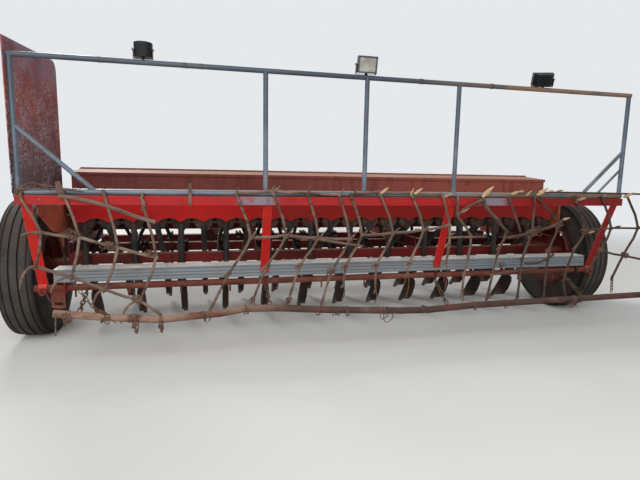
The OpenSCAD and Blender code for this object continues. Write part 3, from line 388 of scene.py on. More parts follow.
def weathered_steel(f, main, dark, light, size_mm, relief_mm, old_paint=None, painted_shade=None):
    """Bare steel left outdoors: even brown rust, darker pits, paler dusty scale, and old paint in islands.
    Upward faces are painted paler as a painted highlight. The optional darker colour, with the stretch
    across the machine over which it comes in, is painted shade on the machine's shaded side."""
    pits = f.patches(size_mm, 0.5, 0.64, (0.4, 1, 1), detail=9, rough=0.68)
    grain = f.patches(4, 0.4, 0.7, detail=3, shift=6.0)
    scale = f.patches(size_mm * 2.2, 0.46, 0.64, (0.4, 1, 1), detail=6, shift=3.0)
    # the last of these layers is a painted highlight: upward faces paler
    layers = [(light, scale), (dark, pits), (light, grain, 0.35), (light, f.facing(2), 0.5)]
    # painted shade: a darker colour over a stretch across the machine, for its shaded side
    if painted_shade is not None:
        layers.append((painted_shade[0], f.along(0, *painted_shade[1]), f.patches(size_mm * 3, 0.2, 0.4, shift=1.0), 0.8))
    if old_paint is not None:
        layers.append((old_paint, f.patches(size_mm * 1.4, 0.56, 0.64, shift=8.0), 0.75))
    return f.done(f.coats(main, *layers), 0.82, None, [(grain, 0.5), (pits, 1.0)], relief_mm)


def soil_worn_steel(f):
    """Spring steel that works in soil: near-black scale above, brown dried soil below, a scoured tip."""
    soil = f.patches(60, 0.35, 0.6, detail=8, rough=0.65)
    scoured = f.along(2, 170, 90)
    colour = f.coats(
        "#26211f", ("#43291f", f.patches(45, 0.5, 0.64, detail=8, shift=5.0)),
        ("#5c4637", f.facing(2), 0.5), ("#4b3728", soil, f.along(2, 520, 160), 0.8),
        ("#5d544c", scoured, f.patches(40, 0.35, 0.6, shift=2.0)),
    )
    return f.done(colour, (0.8, 0.45), scoured, [(f.patches(6, 0.3, 0.7), 0.4), (soil, 1.0)], 0.8)


def ribbed_hose(f):
    """Extruded rubber seed hose: dark grey with ribs 9 mm apart and a bloom of dust."""
    dust = f.patches(90, 0.4, 0.66)
    flecks = f.patches(20, 0.6, 0.72, shift=3.0)
    colour = f.coats("#302f2e", ("#5b5149", dust, 0.65), ("#7c7166", flecks, 0.5))
    return f.done(colour, (0.5, 0.85), dust, [(f.ridges(2, 9), 1.0)], 1.5)


def weathered_tyre_rubber(f):
    """Ribbed implement tyre: black rubber greyed and crazed by sun, and brown dust low on the sides.
    The tread is greyer, partly from weathering and partly as a painted highlight on the ribs, and the rubber
    just inside the tread's face, in its grooves, is painted near-black as painted shade."""
    hub = at(0, wheel_y, wheel_z)
    around = node(f.tree, "VectorMath", {0: f.place, 1: hub}, operation="SUBTRACT").outputs[0]
    around = node(f.tree, "VectorMath", {0: around, 1: (0, 1, 1)}, operation="MULTIPLY").outputs[0]
    radius = node(f.tree, "VectorMath", {0: around}, operation="LENGTH").outputs["Value"]
    shoulder = {"Value": radius, "From Min": hub.z - 70 * MM, "From Max": hub.z - 30 * MM}
    on_tread = node(f.tree, "MapRange", shoulder).outputs[0]
    # painted shade: near-black in the grooves, just inside the tread's face
    grooves = {"Value": radius, "From Min": hub.z - 6 * MM, "From Max": hub.z - 14 * MM}
    painted_groove_shade = node(f.tree, "MapRange", grooves).outputs[0]
    mud = f.patches(80, 0.42, 0.6, detail=9, rough=0.66, shift=2.0)
    crazed = f.patches(9, 0.55, 0.7, detail=3, shift=7.0)
    colour = f.coats(
        "#262423", ("#413d3c", f.patches(170, 0.3, 0.6), 0.8),
        # partly weathering, partly painted highlight: the tread is greyer
        ("#615b59", on_tread, f.patches(120, 0.35, 0.65, shift=9.0), 0.5),
        ("#574839", mud, 0.5), ("#5f5a57", crazed, 0.3), ("#14110f", painted_groove_shade, on_tread, 0.85),
    )
    return f.done(colour, 0.8, None, [(crazed, 0.4), (f.patches(4, 0.3, 0.7), 1.0)], 0.5)


def powder_coat(f):
    """Die-cast lamp housing in black powder coat, greyed by dust on top."""
    dust = f.facing(2, 0.1, 0.8)
    smears = f.patches(40, 0.35, 0.6)
    colour = f.coats("#19191b", ("#6b655d", dust, smears, 0.6), ("#8b8b8a", f.edges(2.5), 0.6))
    return f.done(colour, (0.42, 0.75), dust, [(f.patches(3, 0.3, 0.7), 1.0)], 0.1)


def pressed_glass(f):
    """Pressed-glass lamp lens over a dull reflector, fluted every 8 mm and dusty."""
    dust = f.patches(30, 0.35, 0.65)
    colour = f.coats("#c2bdb2", ("#938d81", dust))
    return f.done(colour, (0.12, 0.5), dust, [(f.ridges(0, 8), 1.0)], 0.8, Coat_Weight=0.5)


def dipped_mesh_paint(f):
    """Expanded steel mesh dipped in maroon. It is orange with rust in the middle, purple lower down,
    and lilac-grey dust lies on its strands in flecks and a few larger patches."""
    fleck = f.patches(9, 0.5, 0.56, detail=4, rough=0.7)
    cloud = f.patches(130, 0.36, 0.58, shift=2.0)
    colour = f.coats(
        "#6f2f2b", ("#a8482f", f.patches(170, 0.34, 0.54, (1, 1, 0.5), detail=6, shift=4.0), 0.9),
        ("#34191f", f.along(2, 1750, 1300), 0.85), ("#b3a5b3", fleck, cloud, 0.9),
        ("#8d8294", f.along(2, 1850, 2100), f.patches(60, 0.3, 0.5, shift=5.0), 0.7),
        ("#a08f9c", f.patches(60, 0.62, 0.68, shift=9.0), 0.8),
    )
    return f.done(colour, (0.6, 0.8), fleck, [(fleck, 1.0)], 0.3)


# Each finish: the function that makes it, the material's name, and what else the function is given
FINISHES = {
    # the darker colour with its stretch in the hood, bar and legs rows is painted shade on the machine's
    # shaded side
    "hood": (brushed_enamel, "brushed red enamel, hood", "#bf110d", "#a31511", "#c2584e", 0.7,
             ("#7d1a14", (-1250, -350))),
    "bar": (brushed_enamel, "brushed red enamel, top bar", "#b31f1f", "#a53030", "#b0655b", 0.64,
            ("#761b1a", (700, 1600)), ((-901, -659), (952, 1174))),
    "legs": (brushed_enamel, "brushed red enamel, legs", "#d02018", "#b72a22", "#e0887a", 0.66,
             ("#8e1c18", (900, 2200))),
    "box": (sprayed_maroon, "sprayed maroon"),
    "ridge": (sprayed_maroon, "sprayed maroon, lids", "#5d241f"),
    "frame": (greasy_frame_enamel, "greasy frame enamel"),
    "plates": (burnt_plate_paint, "burnt plate paint"),
    "pipes": (dull_galvanising, "dull galvanising, pipes", "#5f6973", "#858e97", (300, 1300)),
    "posts": (dull_galvanising, "dull galvanising, posts", "#5b6570", "#7d8792"),
    "plank": (walked_on_galvanising, "walked-on galvanising"),
    # the darker colour with its stretch in the harrow and drag pipe rows is painted shade on the machine's
    # shaded side
    "harrow": (weathered_steel, "harrow rust", "#6b574b", "#3b2e27", "#8f7869", 30, 0.7, None,
               ("#45322b", (500, 1500))),
    # painted highlight: the pale tips' finish is worn, dusty steel painted paler as sunlit
    "tips": (weathered_steel, "dusty forged tips", "#b08d6e", "#735744", "#e0bd94", 20, 0.6),
    "drag": (weathered_steel, "drag pipe rust", "#846656", "#4f3b30", "#a88975", 60, 0.6, "#70433a",
             ("#3a2827", (-1000, -500))),
    "under": (weathered_steel, "under-bar rust", "#6f392e", "#46261f", "#8f5d4c", 50, 0.6, "#81302a"),
    "chain": (weathered_steel, "chain rust", "#4c392e", "#2d221c", "#77604c", 14, 0.3),
    "steel": (weathered_steel, "dull bright steel", "#4d453f", "#2f2823", "#7c6e63", 30, 0.3),
    "wire": (weathered_steel, "baling wire rust", "#644a3e", "#402e26", "#8a6c5b", 12, 0.2),
    "tines": (soil_worn_steel, "soil-worn spring steel"),
    "cups": (weathered_steel, "cast feed cup", "#3a2c26", "#241a16", "#5f4a3e", 30, 0.6, "#6b2c24"),
    "hose": (ribbed_hose, "ribbed seed hose"),
    "tyre": (weathered_tyre_rubber, "weathered tyre rubber"),
    "rim": (brushed_enamel, "rim enamel", "#7f2a20", "#5f2a20", "#8f6a58", 0.54),
    "lamp": (powder_coat, "black powder coat"),
    "lens": (pressed_glass, "pressed glass"),
    "mesh": (dipped_mesh_paint, "dipped mesh paint"),
}

FINISH_OF_NODES = {
    "hood": ["seed_hood"],
    "bar": ["top_bar"],
    "legs": ["bar_legs"],
    "box": ["box_rear_pan", "box_front_pan", "box_walls"],
    "ridge": ["lid_rear_left", "lid_rear_right", "lid_front_left", "lid_front_right"],
    "frame": ["cross_bars", "members", "box_stands", "drawbar_beams", "drawbar_tongue", "lift_shaft",
              "axle_left", "axle_right", "plank_arms"],
    "plates": ["end_plates"],
    "pipes": ["rail_pipes"],
    "posts": ["rail_posts"],
    "plank": ["plank"],
    "harrow": ["harrow_left", "harrow_middle", "harrow_right"],
    "drag": ["drag_pipe"],
    "under": ["under_bar"],
    "chain": ["drag_chains", "drive_chain"],
    "steel": ["hitch_head", "jack_sleeve", "jack_leg", "lift_ram", "feed_shaft"],
    "tines": ["tines_rear", "tines_front", "boots_rear", "boots_front"],
    "cups": ["feed_cups"],
    "hose": ["tubes_rear", "tubes_front"],
    "tyre": ["tyre_left", "tyre_right"],
    "rim": ["rim_left", "rim_right"],
    "lamp": ["work_lamps"],
    "mesh": ["mesh_panel"],
}

made_finishes = {}


def finish_called(name):
    """The material of a finish, made when it is first asked for."""
    if name not in made_finishes:
        made_by, title, *values = FINISHES[name]
        made_finishes[name] = made_by(Finish(title), *values)
    return made_finishes[name]


# Modelling helpers


def clear_selection():
    if bpy.context.object is not None and bpy.context.object.mode != "OBJECT":
        bpy.ops.object.mode_set(mode="OBJECT")
    bpy.ops.object.select_all(action="DESELECT")


def wear_in(piece, material):
    piece.data.materials.clear()
    piece.data.materials.append(material)


def keep(piece, name, finish, body="drill", replaces=()):
    """Names a finished piece, dresses it, and lets it ride on its body."""
    piece.name = name
    piece.data.name = name
    wear_in(piece, finish_called(finish))
    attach(piece, body)
    if replaces:
        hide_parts(*replaces)
    return piece


def settled():
    """The active object with its turn, place and scale applied to its mesh."""
    bpy.ops.object.transform_apply(location=True, rotation=True, scale=True)
    return bpy.context.object


def bent(points, radius):
    """The same line with a place on each side of a corner in its stead, so that it bends in an arc."""
    line = [points[0]]
    for before, corner, after in zip(points, points[1:], points[2:]):
        for far in (before, after):
            reach = min(radius, (far - corner).length * 0.4)
            line.append(corner + (far - corner).normalized() * reach)
    return line + [points[-1]]


def rods(bars, sides=2, steps=3):
    """Rods as one mesh. Each bar is a line of places with the rod's radius in mm at each, drawn round."""
    clear_selection()
    bpy.ops.curve.primitive_bezier_curve_add()
    curve = bpy.context.object
    curve.data.splines.clear()
    curve.data.resolution_u = steps
    curve.data.bevel_depth = MM
    curve.data.bevel_resolution = sides
    curve.data.use_fill_caps = True
    for points, radii in bars:
        spline = curve.data.splines.new("BEZIER")
        spline.bezier_points.add(len(points) - 1)
        for knot, place, radius in zip(spline.bezier_points, points, radii):
            knot.co = place
            knot.radius = radius
            knot.handle_left_type = knot.handle_right_type = "AUTO"
    bpy.ops.object.convert(target="MESH")
    bpy.ops.object.mode_set(mode="EDIT")
    bpy.ops.mesh.select_all(action="SELECT")
    bpy.ops.mesh.normals_make_consistent(inside=False)
    bpy.ops.object.mode_set(mode="OBJECT")
    bpy.ops.object.shade_smooth()
    return bpy.context.object


def spread(name, model, places, finish, body="drill"):
    """Copies a modelled piece to each place, each copy with its own mesh, and joins the copies."""
    copies = []
    for place in places:
        copy = model.copy()
        copy.data = model.data.copy()
        copy.data.transform(place)
        bpy.context.collection.objects.link(copy)
        copies.append(copy)
    return keep(joined_pieces(copies), name, finish, body)


def discard(model):
    mesh = model.data
    bpy.data.objects.remove(model)
    bpy.data.meshes.remove(mesh)


def turned(degrees, axis):
    return Matrix.Rotation(math.radians(degrees), 4, axis)


def stood_at(x, y, z):
    """The move that takes a model from the origin to a place given in millimetres."""
    return Matrix.Translation(at(x, y, z))


def turned_to(place, direction, spin=0.0):
    """The move that takes a model standing on the origin along Z to a place, along a direction."""
    turn = Vector(direction).to_track_quat("Z", "Y").to_matrix().to_4x4()
    return Matrix.Translation(place) @ turn @ Matrix.Rotation(spin, 4, "Z")


def modified(kind, **settings):
    """Adds a modifier to the active object, sets it and applies it."""
    bpy.ops.object.modifier_add(type=kind)
    modifier = bpy.context.object.modifiers[-1]
    for name, value in settings.items():
        setattr(modifier, name, value)
    bpy.ops.object.modifier_apply(modifier=modifier.name)


def pick_faces(piece, wanted):
    """Selects only the faces that pass a test, in edit mode."""
    bpy.ops.mesh.select_mode(type="FACE")
    bpy.ops.mesh.select_all(action="DESELECT")
    shape = bmesh.from_edit_mesh(piece.data)
    for face in shape.faces:
        face.select_set(wanted(face))
    bmesh.update_edit_mesh(piece.data)


def slab(*size):
    """A square-cornered block of a size in millimetres, its middle on the origin."""
    clear_selection()
    bpy.ops.mesh.primitive_cube_add(size=1)
    piece = bpy.context.object
    piece.data.transform(Matrix.Diagonal((*[s * MM for s in size], 1)))
    return piece


def block_at(place, centre, size, bevel):
    """A plate with softened edges, its centre and size in millimetres in the directions of its place."""
    plate = slab(*size)
    modified("BEVEL", width=bevel * MM, segments=2)
    plate.data.transform(place @ Matrix.Translation(Vector(centre) * MM))
    return plate


def joined_pieces(pieces):
    clear_selection()
    for piece in pieces:
        piece.select_set(True)
    bpy.context.view_layer.objects.active = pieces[0]
    if len(pieces) > 1:
        bpy.ops.object.join()
    return bpy.context.object


def hex_nut(flats, height):
    """A hexagon nut on its washer with the bolt's end standing out, at the origin, pointing up Z."""
    clear_selection()
    washer_t = 2
    bpy.ops.mesh.primitive_cylinder_add(
        vertices=18, radius=flats * 0.62 * MM, depth=washer_t * MM, location=(0, 0, washer_t / 2 * MM))
    washer = settled()
    bpy.ops.mesh.primitive_cylinder_add(
        vertices=6, radius=flats * 0.577 * MM, depth=height * MM,
        location=(0, 0, (washer_t + height / 2) * MM))
    nut = settled()
    bpy.ops.object.mode_set(mode="EDIT")
    pick_faces(nut, lambda face: face.normal.z > 0.9)
    bpy.ops.mesh.inset(thickness=flats * 0.12 * MM, depth=flats * 0.06 * MM)
    bpy.ops.mesh.inset(thickness=flats * 0.14 * MM, depth=0)
    bpy.ops.mesh.extrude_region_move(TRANSFORM_OT_translate={"value": (0, 0, flats * 0.3 * MM)})
    bpy.ops.object.mode_set(mode="OBJECT")
    washer.select_set(True)
    bpy.ops.object.join()
    return bpy.context.object


# The finger harrows that hang over the top bar

# Each link is a list of places across and up in mm, from its top hook down to its last finger
LINK_D = 19
CROSS_D = 21
LEAF_A = [
    [(-2245, 1150), (-2145, 940), (-2190, 725)], [(-2030, 1265), (-1925, 905), (-1985, 650)],
    [(-1775, 1215), (-1697, 835), (-1788, 555)], [(-1535, 1120), (-1460, 765), (-1575, 472)],
]
LEAF_B = [
    [(-935, 1200), (-830, 890), (-985, 640), (-1120, 375)],
    [(-680, 1215), (-580, 900), (-725, 675), (-820, 440)],
    [(-435, 1205), (-345, 880), (-480, 685), (-570, 405)],
    [(-200, 1195), (-110, 870), (-245, 635), (-320, 375)],
]
LEAF_C = [
    [(-115, 1200), (-15, 895), (-135, 675), (-155, 525)],
    [(105, 1215), (230, 910), (100, 665), (100, 470)], [(355, 1210), (475, 930), (370, 685), (355, 595)],
    [(610, 1205), (690, 965), (695, 820), (675, 675)],
]
LEAF_D = [
    [(745, 1035), (880, 880), (865, 705), (835, 570), (830, 400)],
    [(965, 1130), (1195, 905), (1130, 765), (1055, 365)],
    [(1425, 880), (1350, 685), (1345, 525), (1335, 370)],
    [(1440, 1180), (1672, 970), (1600, 755), (1585, 360)],
]
LEAF_E = [
    [(1820, 1150), (1935, 890), (1840, 750), (1765, 485), (1800, 350)],
    [(2070, 1180), (2195, 930), (2115, 745), (2000, 575)],
    [(2330, 1185), (2475, 930), (2345, 690), (2257, 500)],
]


def in_leaf(point, out=0.0):
    """A place in the plane of the hung harrows, or so many mm behind it."""
    return at(point[0], harrow_y - out, point[1])


def even(line, diameter):
    return line, [diameter / 2] * len(line)


def tapered(line, *shares):
    """A bar of the leaves, with its radius at each place as a share of a link's diameter."""
    return line, [LINK_D * share for share in shares]


def link_bars(link):
    """One forged link: a rod with round bends, a swell at each joint, and the hook over the top bar."""
    bars = [even(bent([in_leaf(p) for p in link], 30 * MM), LINK_D)]
    for joint in link[1:-1]:
        swell = [in_leaf((joint[0] + dx, joint[1] + dz)) for dx, dz in ((-10, 13), (0, 0), (-6, -15))]
        bars.append(tapered(swell, 0.5, 0.72, 0.5))
    x = link[0][0]
    hook_z = top_bar_z + LINK_D * 0.55
    hook = [in_leaf(link[0]), in_leaf((x - 2, hook_z)), at(x + 3, harrow_y + 16, hook_z + 3),
            at(x + 4, top_bar_y + 14, hook_z + 1)]
    bars.append(tapered(hook, 0.5, 0.48, 0.44, 0.34))
    return bars


def finger_bar(start, reach, drop):
    """A finger that leaves the joint level, arcs down and thins to a blunt tip."""
    steps = ((0, 0), (0.32, 0.05), (0.64, 0.25), (0.87, 0.6), (1, 1))
    line = [in_leaf((start[0] - sx * reach, start[1] - sz * drop)) for sx, sz in steps]
    return tapered(line, 0.5, 0.49, 0.45, 0.39, 0.27)


def cross_bar(links, row):
    """A cross rod threaded through the links' joints, sagging a little between them."""
    places = [links[0][row]] + [link[row] for link in links[1:]]
    line = []
    for a, b in zip(places, places[1:]):
        line.append(in_leaf(a, -6))
        line.append(in_leaf(((a[0] + b[0]) / 2, (a[1] + b[1]) / 2 - 5), -6))
    line.append(in_leaf(places[-1], -6))
    return even(line, CROSS_D)


def wire_knot(middle, slope, width, turns):
    """Old baling wire wound round a joint: an untidy clump along the rod, with its two ends sticking out.
    slope is how its rod runs across and up."""
    line = []
    along = Vector((slope[0], 0, slope[1])).normalized()
    side = Vector((along.z, 0, -along.x))
    for i in range(turns * 4 + 1):
        angle = 2 * math.pi * i / 4 + dice.uniform(-0.5, 0.5)
        out = width * dice.uniform(0.45, 1.1) * MM
        shift = along * dice.gauss(0, 0.75) * width * MM
        line.append(middle + shift + side * math.cos(angle) * out
                    + Vector((0, math.sin(angle) * out * 0.8, 0)))
    stray = width * 1.2 * MM
    line.insert(0, line[0] + Vector((dice.uniform(-1, 1), -0.2, dice.uniform(0.2, 1))) * stray)
    line.append(line[-1] + Vector((dice.uniform(-1, 1), -0.2, dice.uniform(-1, -0.2))) * stray)
    return even(line, 6)


def leaf_bars(links, rows, fingers=()):
    """All rods of one harrow leaf. fingers lists the (row, reach, drop) of the fingers on each link."""
    bars = []
    for link, hung in zip(links, fingers or [()] * len(links)):
        bars += link_bars(link)
        bars += [finger_bar(link[row], reach, drop) for row, reach, drop in hung]
        x, z = link[-1]
        foot = [in_leaf((x + 3, z + 22)), in_leaf((x, z)), in_leaf((x - 16, z - 22))]
        bars.append(tapered(foot, 0.5, 0.62, 0.22))
    return bars + [cross_bar(links, row) for row in rows]


def lone_bar(points, diameter, out=8):
    """A bar of the leaves that lies apart from the links, bent round at each place."""
    return even(bent([in_leaf(p, out) for p in points], 40 * MM), diameter)


def forged_tip():
    """Flattened leaf-shaped end of a finger, 96 mm long, lying along +X from its neck at the origin."""
    clear_selection()
    half_widths = (5.5, 8, 12.5, 13.5, 12.5, 10, 6.5, 3, 1.2)
    columns = len(half_widths) - 1
    bpy.ops.mesh.primitive_grid_add(x_subdivisions=columns, y_subdivisions=4, size=1)
    tip = bpy.context.object
    for vertex in tip.data.vertices:
        column = round((vertex.co.x + 0.5) * columns)
        v = vertex.co.y * 2
        crown = 3.5 * (1 - v * v) + 3.6 * math.sin(column / columns * math.pi)
        vertex.co = Vector((column * 12, v * half_widths[column], crown)) * MM
    modified("SOLIDIFY", thickness=6 * MM, offset=0)
    modified("SUBSURF", levels=1, render_levels=1)
    bpy.ops.object.shade_smooth()
    return tip


def tip_place(point, degrees, roll):
    """Stands a tip just behind the rods at so many degrees from the level, its face towards the rear."""
    place = Matrix.Translation(in_leaf(point, 9))
    return place @ turned(-degrees, "Y") @ turned(roll, "X") @ turned(90, "X")


# Flattened tips of the fingers: place across and up, degrees from the level, and size beside a whole one.
# The dark ones are old and rusty; the pale ones are worn bright and dusty, and painted paler still as sunlit,
# a painted highlight.
DARK_TIPS = [
    (-2008, 1165, 112, 1.1), (-935, 1190, 70, 0.6), (-700, 1195, 62, 0.65), (-672, 1215, 40, 0.6),
    (-430, 1200, 75, 0.6), (-205, 1190, 55, 0.65), (-112, 1200, 30, 0.6), (-825, 900, 55, 0.62),
    (-575, 905, 50, 0.62), (-340, 885, 55, 0.62), (-105, 875, 48, 0.62), (-10, 900, 52, 0.55),
    (232, 915, 42, 0.6), (476, 935, 40, 0.6), (690, 890, 20, 0.5), (-725, 680, 30, 0.4),
    (-245, 640, 20, 0.45), (100, 675, 12, 0.5), (370, 690, 10, 0.6), (1130, 660, 15, 0.5),
    (2200, 930, 14, 0.9), (1345, 685, 175, 0.5),
]
PALE_SUNLIT_TIPS = [
    (108, 1200, 38, 0.85), (345, 1195, 62, 0.6), (378, 1200, 35, 0.85), (618, 1180, 22, 0.8),
    (945, 1180, 42, 1.35), (1195, 1205, 18, 0.95), (1262, 1225, 10, 0.6), (1330, 1195, 40, 0.7),
    (1430, 1200, 30, 1.25), (1590, 1236, 178, 0.6), (1612, 1238, 4, 0.7), (1820, 1165, 12, 0.9),
    (2080, 1195, 80, 0.35), (2268, 1188, 20, 1.2), (760, 1062, 22, 0.9), (1690, 1002, 12, 0.8),
    (1955, 895, 8, 0.7),
]


def model_harrows():
    """The three sets of harrow leaves as forged rods, their wire knots and their flattened tips."""
    # The outer leaf hangs free, so its fingers show at full size: (row, reach, drop) for each of its links
    hung = [
        [(1, 117, 20), (2, 100, 145)], [(1, 40, 22), (2, 129, 99)], [(1, 46, 20), (2, 78, 103)],
        [(2, 125, 150)],
    ]
    left = leaf_bars(LEAF_A, (1, 2), hung)
    upper = ((-2032, 1172), (-1930, 1160), (-1775, 1120), (-1555, 1030), (-1460, 1003))
    left.append(lone_bar(upper, CROSS_D + 4))
    left.append(lone_bar(((-1575, 472), (-1520, 430), (-1440, 365)), CROSS_D, 0))
    stub = [in_leaf((-1540, 1080)), in_leaf((-1528, 1130), 4), in_leaf((-1552, 1168), 4)]
    left.append((stub, [11, 12, 8]))
    keep(rods(left), "harrow_leaf_left", "harrow", replaces=["harrow_left"])

    short = [[(2, 34, 30)]] * 4
    middle = leaf_bars(LEAF_B, (0, 1), short) + leaf_bars(LEAF_C, (0, 1), short)
    middle.append(lone_bar(((-345, 872), (-240, 852), (-15, 815)), CROSS_D - 2))
    keep(rods(middle), "harrow_leaves_middle", "harrow", replaces=["harrow_middle"])

    right = leaf_bars(LEAF_D, ()) + leaf_bars(LEAF_E, ())
    # Lone bars: the places across and up that each runs through, and its diameter
    for points, diameter in (
        (((960, 1165), (850, 1120), (760, 1062), (745, 1035)), 22),
        (((690, 870), (880, 872), (1000, 870)), 18),
        (((1190, 862), (1290, 872), (1450, 908), (1660, 965), (1700, 1002)), 24),
        (((1180, 1180), (1290, 960), (1312, 905)), LINK_D), (((960, 1140), (1080, 1010), (1195, 905)), 27),
        (((1375, 650), (1490, 645), (1600, 690), (1640, 720)), 21),
        (((1060, 560), (1300, 590), (1500, 605)), 16),
        (((1930, 905), (1985, 915), (2200, 930), (2475, 925), (2525, 925)), 17),
        (((2115, 745), (2200, 712), (2345, 690), (2525, 655)), 18),
        (((1250, 1215), (1600, 1225), (2060, 1222), (2500, 1216)), 15),
        (((1672, 915), (1745, 830), (1765, 750)), 9),
    ):
        right.append(lone_bar(points, diameter))
    keep(rods(right), "harrow_leaves_right", "harrow", replaces=["harrow_right"])

    # Wire knots: place across and up, rise of the rod to each mm across, half width and turns
    knots = []
    for x, z, rise, width, turns in (
        (-1970, 921, -0.25, 27, 9), (-1750, 845, -0.3, 31, 10), (-1500, 790, -0.4, 20, 6),
        (-1590, 480, -0.6, 24, 6), (-820, 895, 0.5, 13, 4), (-575, 895, 0.6, 16, 5),
        (-340, 880, 0.6, 13, 4), (-105, 870, 0.6, 14, 4), (-985, 640, 0.8, 15, 4), (-725, 675, 0.9, 14, 4),
        (-480, 685, 0.8, 16, 5), (-245, 635, 0.7, 22, 7), (-570, 430, 0.4, 20, 6), (-820, 450, 0.3, 18, 5),
        (-135, 672, 0.8, 20, 6), (100, 665, 0.8, 18, 5), (370, 685, 0.4, 18, 5), (1130, 765, 0.8, 15, 4),
        (1430, 900, 0.3, 32, 13), (1672, 960, 0.2, 22, 6), (1600, 750, 0.9, 18, 5),
        (1945, 905, 0.2, 26, 8), (1820, 1165, 0.2, 20, 6), (2365, 695, -0.15, 24, 10),
        (2120, 742, 0.1, 20, 6), (965, 1150, 0.5, 20, 6), (1160, 640, 0.2, 18, 4), (1060, 385, 0.5, 18, 5),
    ):
        knots.append(wire_knot(in_leaf((x, z)), (1, rise), width, turns))
    keep(rods(knots, 1, 2), "harrow_wire_knots", "wire")

    tip = forged_tip()
    for name, tips, finish in (
        ("harrow_dark_tips", DARK_TIPS, "harrow"), ("harrow_pale_sunlit_tips", PALE_SUNLIT_TIPS, "tips"),
    ):
        places = []
        for x, z, degrees, size in tips:
            places.append(tip_place((x, z), degrees, dice.uniform(-35, 35)) @ Matrix.Scale(size, 4))
        spread(name, tip, places, finish)
    discard(tip)


def model_bar_strap():
    """Lone flat strap hung behind the top bar beside the middle leaves."""
    low, high = top_bar_z - 66, top_bar_z + 84
    place = stood_at(-1236, top_bar_y - 4.3, (low + high) / 2)
    keep(block_at(place, (0, 0, 0), (22, 8, high - low), 3), "bar_strap", "harrow")


# Fasteners


def screwed_on(x, y, z, facing):
    """Where a nut sits: on a face that looks in a direction, turned by chance about its bolt."""
    return turned_to(at(x, y, z), facing, dice.uniform(0, 1))


def model_fasteners():
    """Nuts on the tine clamps and the wheels, and bolts through the top bar and the end plates."""
    up, rearward = (0, 0, 1), (0, -1, 0)
    nut = hex_nut(22, 10)
    # the nuts stand on the clamps' straps, four to a tine
    strap_top = edge("cross_bars", 1, "z") + 8.5
    places = []
    for row, x in enumerate(ROWS):
        for dy in (-48, 48):
            for dx in (-18, 18):
                places.append(screwed_on(x + dx, TINE_BARS_Y[row % 2] + dy, strap_top, up))
    spread("tine_clamp_nuts", nut, places, "steel")
    discard(nut)

    # two bolts through the top bar beside the middle on each side, and one near each end
    bolt = hex_nut(26, 9)
    smaller = Matrix.Scale(0.62, 4)
    places = []
    for side in (-1, 1):
        for x, dz in ((MEMBER_X, -18), (MEMBER_X, -42), (END_BOLT_X, -30)):
            places.append(screwed_on(side * x, top_bar_y, top_bar_z + dz, rearward) @ smaller)
    spread("top_bar_bolts", bolt, places, "bar")

    # places forward and up on an end plate; the left one has a rear lobe with two more
    plate_x = edge("end_plates", 1, "x")
    on_plate = [
        (60, 1120), (240, 1120), (420, 1120), (600, 1120), (780, 1120), (300, 700), (500, 700), (700, 700),
        (820, 640), (300, 760),
    ]
    places = []
    for side, spots in ((-1, on_plate + [(-480, 1120), (-300, 1120)]), (1, on_plate)):
        for y, z in spots:
            places.append(screwed_on(side * plate_x, y, z, (side, 0, 0)))
    spread("end_plate_bolts", bolt, places, "plates")
    discard(bolt)

    # the nuts stand on the rim's disc, 29 mm outside the middle of the tyre
    wheel_nut = hex_nut(32, 16)
    studs, ring, disc_x = 8, 112, wheel_x + 29
    for side, word in ((-1, "left"), (1, "right")):
        places = []
        for k in range(studs):
            angle = math.radians((k + 0.5) * 360 / studs)
            y, z = wheel_y + ring * math.cos(angle), wheel_z + ring * math.sin(angle)
            places.append(screwed_on(side * disc_x, y, z, (side, 0, 0)))
        spread(f"wheel_nuts_{word}", wheel_nut, places, "steel", f"wheel_{word}")
    discard(wheel_nut)


def hub_cap(side, word):
    """Pressed cap over the axle's end, lathed round the wheel's own axis from (radius, place across)."""
    start = wheel_x + 60
    profile = [(50, start - 3), (50, start + 10), (46, start + 17), (34, start + 22), (16, start + 24),
               (0, start + 24.5)]
    clear_selection()
    bpy.ops.mesh.primitive_circle_add(
        vertices=32, radius=profile[0][0] * MM, location=at(side * profile[0][1], wheel_y, wheel_z),
        rotation=(0, math.radians(90), 0))
    cap = settled()
    bpy.ops.object.mode_set(mode="EDIT")
    bpy.ops.mesh.select_mode(type="VERT")
    bpy.ops.mesh.select_all(action="SELECT")
    axis = at(0, wheel_y, wheel_z)
    for (r0, x0), (r1, x1) in zip(profile, profile[1:]):
        bpy.ops.mesh.extrude_region_move(TRANSFORM_OT_translate={"value": (side * (x1 - x0) * MM, 0, 0)})
        shrink = max(r1, 0.01) / r0
        middle = (side * x1 * MM, axis.y, axis.z)
        bpy.ops.transform.resize(value=(1, shrink, shrink), center_override=middle)
    bpy.ops.mesh.select_all(action="SELECT")
    bpy.ops.mesh.remove_doubles(threshold=0.0001)
    bpy.ops.mesh.fill_holes(sides=0)
    bpy.ops.mesh.normals_make_consistent(inside=False)
    bpy.ops.object.mode_set(mode="OBJECT")
    bpy.ops.object.shade_smooth_by_angle(angle=math.radians(35))
    keep(cap, f"hub_cap_{word}", "rim", f"wheel_{word}")


# Work lamps


# Each lamp: place across, width, height, degrees of tilt, and degrees of turn about its foot
LAMPS = [(-1508, 110, 90, 0, 180), (-12, 138, 112, 12, 0), (1444, 150, 88, -24, 160)]
LAMP_DEPTH = 72
LAMP_NECK = 16


def lamp_place(x, height, tilt, turn):
    """Where a lamp's housing stands: its middle over its foot on the top rail, tilted and turned."""
    return stood_at(x, rail_y, rail_top + LAMP_NECK + height / 2) @ turned(turn, "Z") @ turned(tilt, "X")


